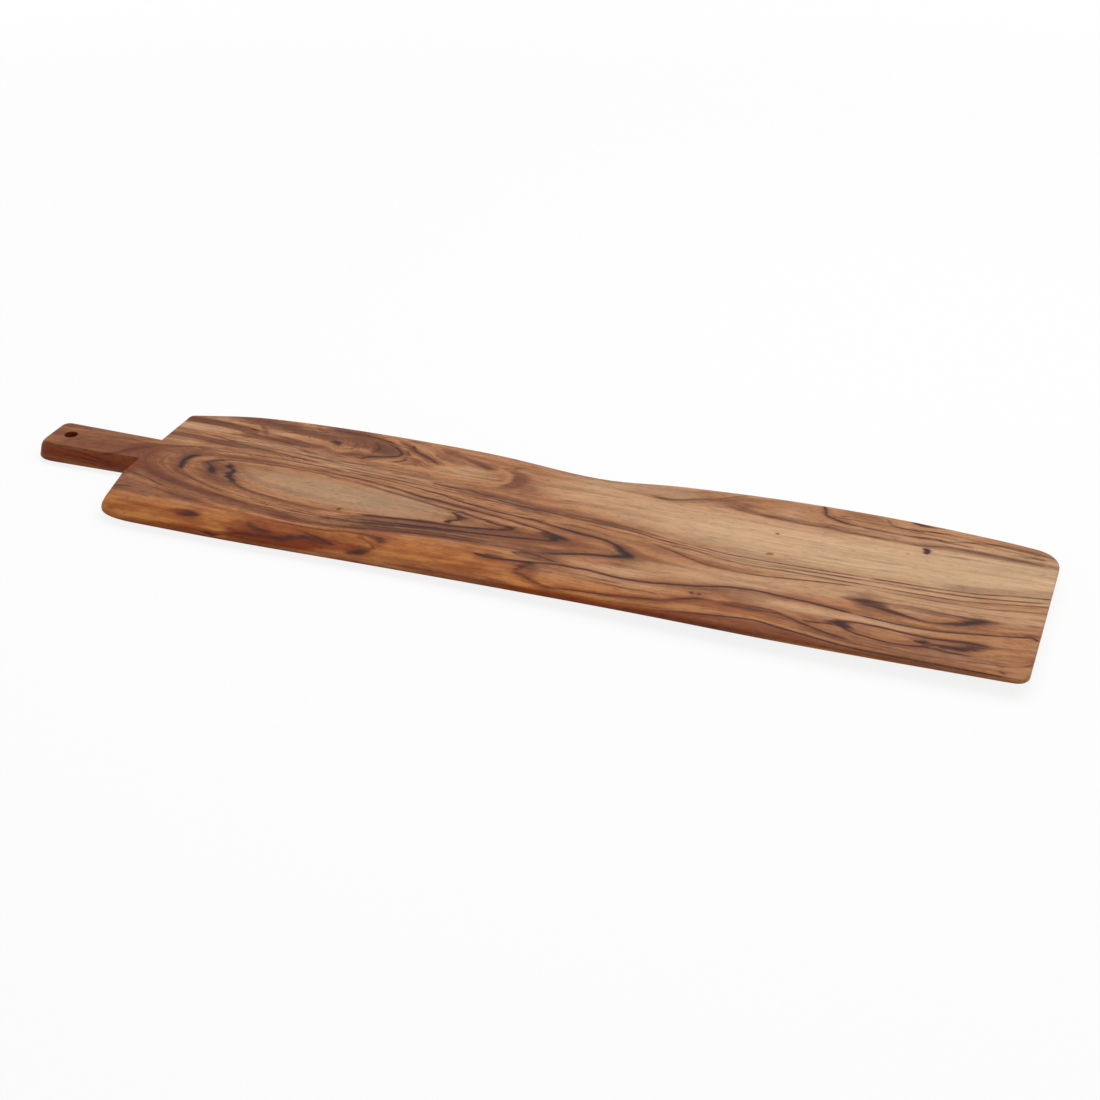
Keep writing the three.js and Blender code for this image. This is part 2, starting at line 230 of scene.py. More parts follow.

# The figure, traced on the top of the board: a stroke has a strength, a half width and its points,
# in millimetres, and a third number at a point scales it there

# Dark lines and knots
INK = [
    # far side, left end
    (0.45, 2, (-381,86,1), (-350,86.5), (-315,84), (-303,81.5,1)),
    (0.6, 2.2, (-306,82.5,0.8), (-301,81), (-297,79.5,0.6)),
    (0.4, 1.6, (-381,78.5,1), (-350,78.5), (-320,75), (-310,72.5), (-298,71.5), (-287,70)),
    (0.45, 1.3, (-284,77.5), (-265,76), (-250,74), (-240,71.5), (-232,70)),
    (0.5, 1.5, (-287,67), (-276,68.5), (-262,66.5), (-252,64), (-246,62.5)),
    (0.3, 1.1, (-262,60.5), (-245,58.5), (-232,55.5), (-220,52.5)),
    (0.35, 1.5, (-253,109.5), (-246,105.5), (-236,101.5), (-224,99)),
    (0.35, 1.4, (-345,56), (-330,54), (-300,47), (-285,45.2), (-240,41), (-212,36.5), (-200,35.3)),
    (0.35, 1.3, (-381,59,1), (-340,56.5), (-310,52), (-280,50.5), (-240,48), (-200,44), (-160,41)),
    (0.35, 1.3, (-381,51,1), (-340,49), (-300,46), (-260,42.5), (-220,37.5), (-200,36)),
    (0.3, 1.3, (-381,44,1), (-345,43.5), (-320,41), (-300,40), (-280,40.5)),
    (0.3, 1.2, (-381,62,1), (-345,61), (-320,58.5), (-290,57), (-262,60.5)),
    (0.3, 1.3, (-260,56), (-230,54), (-200,50), (-165,47.5), (-130,46.5), (-100,47)),
    (0.3, 1.3, (-200,41), (-170,37.5), (-140,35.5), (-110,34.5)),
    (0.35, 1.2, (-180,33), (-150,31), (-120,29), (-95,27)),
    (0.3, 1.2, (-150,37.5), (-120,36.5), (-95,35)),
    # far knot and its arrowheads
    (0.8, 5.5, (-214.5,83.5,1), (-211,82.5,1)),
    (0.5, 1.4, (-201,95), (-195,90), (-192,83), (-194,76), (-200,71)),
    (0.45, 1.2, (-190,96), (-185,90), (-183,84), (-184,78)),
    (0.75, 2.4, (-178,98), (-171,92), (-167.5,86), (-168,80), (-171,75,0.6)),
    (0.85, 2, (-162,98), (-152,93.5), (-144,87), (-140.5,81.5,1.3), (-142.5,77), (-149,73), (-168,66,1.2),
        (-173,61.5,1)),
    (0.35, 2, (-210,62.5), (-198,62), (-184,66), (-172,64.5)),
    (0.6, 1.6, (-143,93), (-137,87.5), (-132,81,0.8)),
    (0.65, 1.8, (-136,79), (-133,74.5), (-135,69), (-141,65), (-150,61)),
    (0.65, 2.4, (-139,102,1), (-131,92), (-112,82.5), (-104,77), (-97,73.5)),
    (0.45, 2, (-146,113,1), (-137,111.5), (-126,111)),
    (0.55, 1.8, (-66,89), (-58,85.5), (-50,83), (-44,81.5)),
    (0.35, 1, (-100,91), (-90,85.5), (-80,81), (-70,79)),
    (0.3, 1.3, (-92,45), (-75,46.5), (-60,49.3), (-47,51), (-40,51)),
    (0.4, 1.6, (-101,51.5,1), (-99,49,1)),
    (0.4, 2.2, (-29,93), (-25,90), (-20,94), (-15,91)),
    (0.35, 3, (-22,80), (-16,72), (-16,62), (-21,54), (-30,47.5)),
    # left end of the oval and its flanks
    (0.35, 1.3, (-300,27), (-330,22), (-350,14), (-361,2), (-360,-12), (-346,-26), (-326,-36), (-300,-46)),
    (0.35, 1.3, (-320,30), (-350,24), (-372,12), (-378,-4), (-372,-20), (-354,-36), (-330,-47), (-300,-56)),
    (0.3, 1.2, (-352,8), (-350,-8), (-338,-24), (-318,-34), (-290,-42)),
    (0.35, 1.7, (-400,14), (-385,17), (-368,20.5), (-340,28.5), (-312,32.5), (-300,33)),
    (0.95, 3, (-327,11.5,0.5), (-332,9), (-336,4), (-337.7,-3), (-335,-16), (-331,-21,0.4)),
    (0.35, 1.2, (-328,11.3,1), (-315,15), (-285,20), (-250,22), (-230,22.5)),
    (0.25, 1.2, (-332,-20,1), (-325,-27), (-304,-38.5), (-270,-51), (-250,-56), (-225,-60)),
    (0.7, 2, (-297,12,0.4), (-305,9), (-311,5.5), (-312,1.5), (-310,-3)),
    (0.95, 4, (-311,1,0.5), (-308,-6,0.9), (-304,-11.5), (-299,-15.5,1.1), (-294,-19.5,0.4)),
    (0.5, 1.4, (-306,9,1), (-298,12), (-270,15.8), (-250,16.7), (-237,17.8,1.3), (-226,17.2,1.2), (-195,16.3),
        (-180,14), (-160,13)),
    (0.2, 1.6, (-294,-20,1), (-285,-26.5), (-262,-36.5), (-248,-41)),
    (0.95, 3.4, (-291,5,0.6), (-290,1), (-284,-9), (-278,-20), (-272,-26), (-268.5,-29.5,0.5)),
    (0.5, 1.3, (-269,-29,0.8), (-260,-34), (-248,-38.8), (-220,-44), (-190,-49), (-160,-50.5,0.8),
        (-152,-52)),
    (0.25, 1.1, (-255,-44), (-235,-48), (-215,-51.5), (-178,-58), (-160,-59.3)),
    (0.25, 1.2, (-330,-28), (-312,-35), (-297,-41), (-275,-46), (-252,-51)),
    (0.5, 1.3, (-383,-39.5,1), (-375,-43), (-352,-49,1.3), (-333,-56.5), (-320,-58.5)),
    (0.35, 1.4, (-379,-54.5,0.8), (-365,-57), (-335,-64.5), (-315,-69.3), (-280,-75), (-260,-77)),
    (0.6, 2, (-377,-74.5,1), (-371,-71.7), (-362,-70.2), (-352,-70.7,0.6), (-342,-74,0.4)),
    (0.3, 2.6, (-367,-79), (-365,-76), (-363,-74)),
    (0.3, 1.5, (-352,-72), (-338,-76.5), (-322,-78.5), (-305,-79)),
    # lines that run along over the oval
    (0.25, 1.1, (-230,31), (-205,31), (-185,34), (-160,30), (-150,28.3), (-138,28)),
    (0.3, 1.1, (-215,25.5), (-195,26.5), (-175,27.5), (-155,28.3,1.6), (-130,26), (-112,23.8), (-99,21.5)),
    (0.7, 1.6, (-101,22,0.7), (-88,18.4), (-75,17.2), (-45,9), (-15,3.7), (15,0.6), (30,-0.4), (40,-2,0.8)),
    (0.45, 1.2, (-215,24.3), (-197,23), (-182,20.5), (-162,19.5), (-130,15.5), (-100,9), (-85,5.5)),
    (0.7, 1.6, (-100,9,0.7), (-85,5.5), (-70,4.3), (-40,-1), (-10,-5.7), (50,-17.3,1)),
    (0.5, 1.5, (-160,13,0.7), (-130,7.3), (-80,-2.7), (-60,-7,1.2), (-50,-8,1.3), (-40,-9)),
    (0.7, 1.8, (-42,-8.5,0.7), (-32,-12), (-6,-18.8), (17,-22,1)),
    (0.5, 1.7, (-88,35.3,1), (-62,33.7), (-50,35), (-40,31.3), (-25,29.5), (-10,28)),
    (0.3, 1, (-72,30), (-52,26.3), (-18,20.5), (0,18)),
    (0.2, 1, (-120,31), (-100,29.5), (-80,27), (-60,23.5)),
    # heart of the oval: small knot and ragged right end
    (0.75, 1.8, (-150.5,-40.5,0.8), (-151.5,-43.5,1.1), (-152.5,-46,0.5)),
    (0.15, 2, (-169,-10), (-164,-9.5)),
    (0.8, 2.3, (-41,-8.5,0.6), (-44,-13.5), (-39,-18), (-35,-21,1.7), (-37,-25,1.3), (-42,-28),
        (-46,-31.5,1.4), (-52,-32,0.7)),
    (0.45, 1.6, (-50,-35.5), (-62,-37), (-75,-39), (-86,-39.5)),
    (0.8, 2.2, (-132,-47.5), (-121,-45.7), (-106,-44), (-80,-40.3), (-30,-36.3), (-5,-32), (8,-28.8),
        (21,-23,1.2), (14,-21.7,1)),
    (0.4, 1.4, (-150,-57), (-140,-53), (-130,-50), (-120,-47.5)),
    (0.85, 2.2, (-132,-56,0.4), (-85,-50.5), (-55,-47), (10,-40), (40,-36), (52,-33), (60,-29,1.3)),
    (0.75, 2.6, (48,-17,0.6), (54,-20.5,1.2), (58,-24.5,1.5), (60.5,-29,1.2), (62,-31,0.4)),
    (0.8, 6.5, (46,-20,0.5), (57,-25), (72,-27)),
    (0.5, 1.4, (-135,-75), (-120,-72), (-100,-68), (-60,-62), (-20,-58.3), (20,-57.7), (40,-57.5),
        (56,-56,0.9)),
    # the outer loop with its black tip
    (0.85, 2.2, (36,-1.5,0.5), (75,-9.8,1.2), (100,-13.3), (119,-21,1.3), (130,-32.5,1.8), (137,-35.5,0.6)),
    (0.8, 6.5, (116,-22,0.5), (126,-31), (134,-35), (118,-39,0.4)),
    (0.8, 2.8, (134,-36.5,0.6), (124,-39.8,1.1), (95,-45), (71,-53), (58,-56.2,0.6)),
    # lines over the middle and the right
    (0.4, 2.2, (-20,29), (0,27), (30,22.6), (80,19.8), (115,16), (145,10), (160,7)),
    (0.55, 1.2, (-26,26.3), (-10,23.5), (5,21), (40,18), (115,10.8), (145,5.4), (160,3), (175,1)),
    (0.3, 1.1, (75,17.5), (95,15.3), (130,10.5), (148,8)),
    (0.3, 1.1, (70,11), (88,8), (105,5), (135,0.5), (150,-1.5)),
    (0.25, 1.1, (-20,17.5), (10,15), (40,12.3), (62,11)),
    (0.2, 1, (-10,12), (25,10), (60,5.5), (95,2)),
    (0.35, 1.4, (150,8.5), (165,6), (180,4.3), (210,0), (230,-1.3), (270,-1), (325,0.3), (350,1.2)),
    (0.4, 1, (150,3.5), (165,2), (195,-2), (225,-5.8), (280,-4.6), (320,-5.5), (350,-5.7)),
    (0.5, 1.2, (148,-0.8), (165,-3), (180,-4.2), (195,-7), (206,-10), (235,-13), (270,-12.2), (290,-12.4),
        (335,-11.6), (355,-12)),
    (0.55, 1.5, (146,-5.5), (160,-10), (170,-13), (179,-17), (200,-24.5), (225,-28), (255,-27.4), (295,-21.5),
        (325,-18.2), (345,-17.6)),
    (0.2, 1.6, (150,-18), (160,-18.5), (170,-20)),
    (0.5, 1.7, (345,1.3), (358,1), (400,2.6), (440,6), (466,12.2), (500,18,1)),
    (0.35, 1.1, (345,-5.8), (375,-5.5), (435,-1), (500,11,0.8)),
    (0.5, 1.2, (350,-12), (380,-12), (400,-11.5), (440,-8.5), (500,4.5,1.2)),
    (0.45, 1.3, (340,-17.6), (370,-18.2), (431,-18), (460,-15), (475,-11.5), (500,-7.5,1)),
    # far edge, right half
    (0.5, 2, (118,84.5), (130,82), (144,83), (165,93), (177,98), (193,109.5), (201,114,0.8)),
    (0.3, 1.6, (165,92), (190,95), (205,90), (220,84), (240,82)),
    (0.3, 1.5, (217,108), (228,113), (244,117.5,1)),
    (0.3, 1, (52,87.5), (56,86.2,1.6), (61,86.5)),
    (0.3, 1.6, (24,41.5), (36,43.2), (45,45.6,1.5), (66,49)),
    (0.15, 1.4, (97,65.5), (102,64.8), (107,61.5)),
    (0.5, 2, (218,81.5), (230,81.5), (256,79.8), (264,78,0.7), (290,79), (303,77), (336,76), (352,75)),
    (0.7, 2, (277,119,1), (280,112), (282.5,103), (288,99), (296,96), (303,93.2), (321,91,0.5), (345,89.5)),
    (0.45, 1.7, (296,105,1), (300,106), (307,107.5)),
    (0.35, 2, (284,82.5), (288,81.8,1.2), (293,80.5)),
    (0.85, 2.4, (356,116.5), (363,115), (372,113), (392,112.3)),
    (0.45, 1.4, (339,112,1), (342,106.5), (350,103), (362,101.4), (390,104), (406,105)),
    (0.5, 1.4, (358,89), (372,90), (386,91.2), (400,90.5), (421,96), (435,98.3)),
    (0.5, 1.6, (428,97.3), (438,98.6), (450,99), (475,95.7,1.3), (494,91,0.8)),
    (0.5, 1.8, (440,84), (468,86), (483,85,1.3)),
    (0.45, 1.6, (350,75), (374,74.5), (400,79.3), (452,77), (474,76.5), (492,72)),
    (0.35, 1.8, (350,77.8,1), (352,77.2,1)),
    (0.95, 4.4, (381.5,68.5,0.9), (385,63,0.8)),
    (0.35, 2.2, (377,74), (380,70)),
    (0.85, 1.5, (246.6,52,1), (247.4,51.6,1)),
    (0.4, 1, (288,55), (288.6,51.5)),
    (0.25, 1.1, (170,46,1), (171,45.6,1)),
    (0.35, 1.1, (367.6,56.2,1), (368.2,55.4,1)),
    (0.35, 1.1, (385.6,49,1), (386.2,48,1)),
    (0.3, 1.2, (486,57,1), (488.5,58.5,1)),
    (0.2, 1.3, (198,101,1), (198,99,1)),
    # near side, right half
    (0.75, 2, (46,-77,0.8), (58,-75), (68,-72.5), (80,-71), (92,-71.4), (105,-71), (116,-72.5), (142,-75),
        (166,-73), (176,-70.6), (196,-67), (215,-62), (235,-56), (262,-54.5), (276,-56), (305,-57.6),
        (335,-62), (350,-64.3)),
    (0.65, 1.6, (345,-63.5), (358,-65), (386,-67.6), (415,-67), (445,-61.5), (475,-55), (485,-52,1.3),
        (493,-50,1.6), (496.5,-53.5,0.9), (496,-58)),
    (0.6, 1.4, (32,-64,0.8), (38,-61.6), (45,-60.6,1.3), (52,-61.6), (69,-66.4,1.2), (77,-66.5)),
    (0.45, 1.3, (32,-64,1), (37,-67), (45,-68.4), (55,-67.6), (66,-67)),
    (0.55, 3.4, (2,-77.5,0.5), (14,-78), (30,-78.5,0.9), (48,-77,0.8)),
    (0.7, 1.4, (0,-75.5), (6,-78,1.1), (12,-80), (24,-80,1.2), (40,-77), (50,-76.5,1.2)),
    (0.45, 1.1, (7,-77.5), (11,-75.4), (18,-75), (26,-76.3,1)),
    (0.5, 4.8, (44,-76.5,0.5), (51,-77), (54,-80), (50,-85,0.9), (48,-90,0.6)),
    (0.4, 3.4, (49,-86,0.6), (46.5,-92), (49,-95.5,1.2), (56,-99), (71,-107), (88,-113.5)),
    (0.35, 1.6, (38,-84.5), (46,-85.5), (52,-86,1)),
    (0.3, 1, (72,-82), (85,-83), (97,-85), (130,-88), (145,-90), (172,-88.7), (182,-91)),
    (0.2, 1, (82,-86), (100,-88), (120,-89)),
    (0.2, 1, (100,-82), (122,-83.5), (140,-85.5)),
    (0.5, 1.7, (78,-112), (91,-111), (105,-109), (135,-106), (165,-101.7), (190,-96.5), (208,-87.5,1.2),
        (216,-84.8), (226,-83.8,0.8)),
    (0.45, 2.6, (188,-93), (197,-90), (214,-84,0.8), (222,-83)),
    (0.4, 2.6, (224,-83), (240,-81.5), (270,-81.3), (282,-83,0.8)),
    (0.5, 1.6, (225,-84), (240,-86), (270,-86.5), (283,-85.5), (291,-87.5)),
    (0.65, 1.6, (283,-84,0.7), (300,-90.7), (320,-98.6), (342,-104.6), (358,-106.3)),
    (0.75, 2, (203.5,-77,1), (205,-77.2,1)),
    (0.75, 1.7, (210.5,-77,1), (211.5,-76.6,1)),
    (0.85, 1.3, (168,-118), (185,-115.7,0.6), (215,-110), (245,-105), (268,-103.1), (294,-108,1.2),
        (355,-117.6,1.2), (412,-118.5), (470,-119), (492,-119)),
    # the two eyes at the right
    (0.4, 2, (338,-41), (350,-37.7), (362,-37), (390,-35.5), (420,-37), (445,-37.5), (455,-36)),
    (0.65, 2.2, (346,-45,0.5), (360,-46,0.8), (385,-51.5,1.3), (410,-55,0.7), (432,-50,1.3), (440,-45.5,1.4),
        (455,-36.5,0.6), (463,-36)),
    (0.65, 7, (328,-40,0.4), (350,-41), (366,-44,0.8), (386,-50,0.4)),
    (0.6, 7, (424,-50,0.4), (438,-45), (450,-40), (470,-36)),
    (0.4, 2, (482,-34.5), (489,-32.5,1.2), (500,-31.5,1)),
    (0.7, 1.9, (330,-83), (338,-79.3), (348,-76.7), (375,-77.5), (390,-79.4), (418,-80), (445,-76.8,1.4),
        (457,-77,1.2), (464,-78)),
    (0.8, 6, (324,-83,0.4), (334,-82), (341,-84.5), (349,-88.5,0.5)),
    (0.55, 2, (307,-88.5,0.8), (312,-89), (330,-86,1)),
    (0.7, 1.7, (336,-86,1), (350,-93.4), (382,-99), (412,-95.6), (440,-97), (453,-96)),
    (0.6, 1.5, (396,-97.5), (410,-93.3), (421,-89,1.2), (431,-88), (441,-90,1.2), (447,-90.5)),
    (0.9, 3.2, (400,-89,0.7), (408,-88.5,1.3), (414,-88.5,0.7)),
    (0.45, 2, (420,-91.5), (426,-91,1.2), (433,-91.5)),
    (0.6, 7, (418,-92,0.4), (438,-89), (450,-84), (468,-78)),
    (0.4, 1.6, (420,-98.3), (431,-98.3,1.2), (441,-97)),
    (0.3, 1.4, (462,-91.5), (470,-89.5,1.2), (477,-88)),
    (0.45, 1.5, (487,-100.5), (494,-97), (500,-93,1)),
    (0.4, 1.3, (473,-106,1), (476,-104.5,1)),
    (0.6, 2.4, (477,-112.5,1), (479,-113.5,1)),
    (0.35, 1.3, (352,-106), (375,-106.6), (390,-107), (403,-108.5), (420,-108), (460,-104.5), (480,-102),
        (497,-99)),
    (0.2, 1, (300,-100), (320,-104.5), (370,-111), (400,-112), (440,-111)),
    # near side, left half
    (0.45, 1.4, (-205,-83.5), (-185,-85), (-165,-86.2), (-150,-85.6), (-140,-84.5)),
    (0.42, 3, (-150,-85.6,0.6), (-140,-84.3), (-120,-80.6), (-97,-80.7,1.2), (-89,-82.5,1.6),
        (-85.5,-85.3,1.5), (-89,-88,1)),
    (0.4, 5.5, (-98,-83,0.5), (-91,-84.5), (-90,-88,0.8)),
    (0.3, 3, (-122,-82.5), (-112,-85), (-97,-93.5), (-92,-98,1)),
    (0.42, 6.5, (-93,-97,0.5), (-91,-102,0.8), (-97,-112,1.1), (-104,-116.5,0.9), (-112,-119,0.5)),
    (0.4, 8, (-103,-102,0.5), (-101,-109), (-107,-115,0.6)),
    (0.6, 2.4, (-269.5,-99.5,0.5), (-274,-97.8), (-282,-95.8), (-290,-96.3,0.7), (-297,-99,0.4)),
    (0.55, 2.3, (-270,-99.8,0.6), (-275,-101.8), (-284,-104,0.9), (-293,-102.3,0.5)),
    (0.55, 4.5, (-270,-99.5,0.5), (-280,-99.8), (-292,-100.5,0.4)),
    (0.42, 7, (-224,-91,0.4), (-216,-98,0.9), (-208,-104), (-192,-108,0.5)),
    (0.4, 3, (-213,-103,0.7), (-199,-106,1.1), (-193,-108,0.4)),
    (0.4, 3.2, (-240,-108), (-230,-112), (-222,-113)),
    (0.45, 4.5, (-238,-119), (-228,-120.5), (-216,-117), (-205,-116.5,1.2), (-182,-114,1)),
    (0.6, 3.6, (-257,-128), (-249,-127.5), (-241,-129), (-232,-126)),
    (0.5, 7.5, (-178,-104,0.6), (-173,-108), (-177,-114), (-184,-113,0.5)),
    (0.45, 6, (-172,-107,0.7), (-162,-107.5), (-140,-112)),
    (0.5, 4.2, (-160,-99.5,0.8), (-154,-102.5,1.3), (-147,-105.5), (-138,-107.5), (-130,-107,1.2),
        (-126.5,-105.5,0.7)),
    (0.45, 2.4, (-126.5,-105.8,0.8), (-133,-103,1.2), (-150,-99.5), (-157,-97.5)),
    (0.35, 1.5, (-178,-91), (-165,-93.5), (-155,-96.5), (-145,-99.5)),
    (0.3, 1.8, (-148,-112.5), (-135,-114.5), (-122,-117.5), (-112,-118.5)),
    (0.3, 1.5, (-70,-118), (-55,-116.5), (-25,-113.3), (2,-111.3), (11,-110), (16,-108)),
    (0.3, 1.4, (22,-112.5), (33,-115), (46,-117.5), (62,-120)),
    (0.3, 1.2, (68,-111.5), (78,-113.5), (88,-116)),
    # handle
    (0.28, 2.2, (-447,12.3), (-436,13), (-426,17), (-414,19.3), (-400,22)),
    (0.35, 3.2, (-479,-9), (-472,-4), (-456,7.5), (-448,10)),
    (0.5, 2.6, (-425,-23.5,0.7), (-408.5,-11.5), (-404,-6,1.2), (-400,0), (-387,10), (-378,14)),
    (0.25, 3.2, (-491,10), (-486,16), (-481,19.5)),
    (0.5, 2, (-475,-22), (-450,-24), (-430,-28), (-410,-33), (-388,-36)),
    (0.45, 2, (-480,-30), (-450,-33), (-420,-36), (-388,-42)),
    (0.4, 1.8, (-470,-38), (-430,-42), (-388,-46)),
    (0.3, 1.4, (-500,-14), (-470,-16), (-440,-16), (-420,-22)),
]
# Bundles of fine lines: how many, strength, half width, and the two lines they run between
BUNDLES = [
    (6, 0.42, 1.3, [(-20,24), (40,19.5), (115,14), (150,8), (200,2), (250,0), (350,2), (440,7), (500,19)],
        [(-20,12), (40,5), (115,-1), (160,-9), (200,-20), (250,-24), (330,-16), (430,-16), (500,-5)]),
    (18, 0.38, 0.9, [(-345,-8), (-335,-26), (-300,-40), (-260,-50), (-200,-57), (-150,-58), (-100,-53),
        (-50,-46), (20,-42)], [(-380,-38), (-350,-55), (-300,-70), (-240,-78), (-180,-82), (-140,-79),
        (-100,-68), (-40,-60), (30,-58)]),
    (10, 0.36, 0.9, [(-395,25), (-340,33), (-280,38), (-220,40), (-150,40), (-100,37), (-40,33), (40,22)],
        [(-345,14), (-310,18), (-260,24), (-200,22), (-150,14), (-100,5), (-40,-6), (40,-4)]),
    (8, 0.36, 0.9, [(-383,60), (-330,60), (-270,62), (-200,57), (-140,58), (-100,54)], [(-383,40), (-330,42),
        (-270,40), (-200,40), (-140,44), (-100,43)]),
    (7, 0.35, 0.8, [(60,-79), (110,-79), (170,-80), (220,-72)], [(70,-95), (120,-98), (170,-95), (215,-88)]),
    (6, 0.35, 1.2, [(60,-98), (95,-110), (150,-103), (205,-91)], [(85,-119), (140,-118), (175,-115),
        (215,-109)]),
    (6, 0.35, 0.9, [(190,-98), (230,-88), (290,-90), (340,-100), (420,-105)], [(190,-104), (240,-101),
        (290,-103), (350,-113), (420,-116)]),
    (6, 0.25, 0.9, [(340,-20), (420,-22), (500,-12)], [(340,-34), (420,-34), (500,-30)]),
    (7, 0.4, 1.4, [(290,108), (350,108), (420,104), (490,92)], [(260,82), (350,78), (420,78), (490,74)]),
    (8, 0.5, 1.1, [(-360,96), (-300,108), (-240,112), (-180,108), (-140,98)], [(-380,82), (-310,78),
        (-260,88), (-220,96), (-180,100), (-140,84)]),
    (6, 0.3, 1.1, [(-150,112), (-125,92), (-100,76)], [(-90,112), (-60,92), (-35,80)]),
    (30, 0.14, 0.9, [(20,88), (120,84), (220,78), (330,72), (495,70)], [(20,30), (120,22), (220,10), (330,8),
        (495,24)]),
]
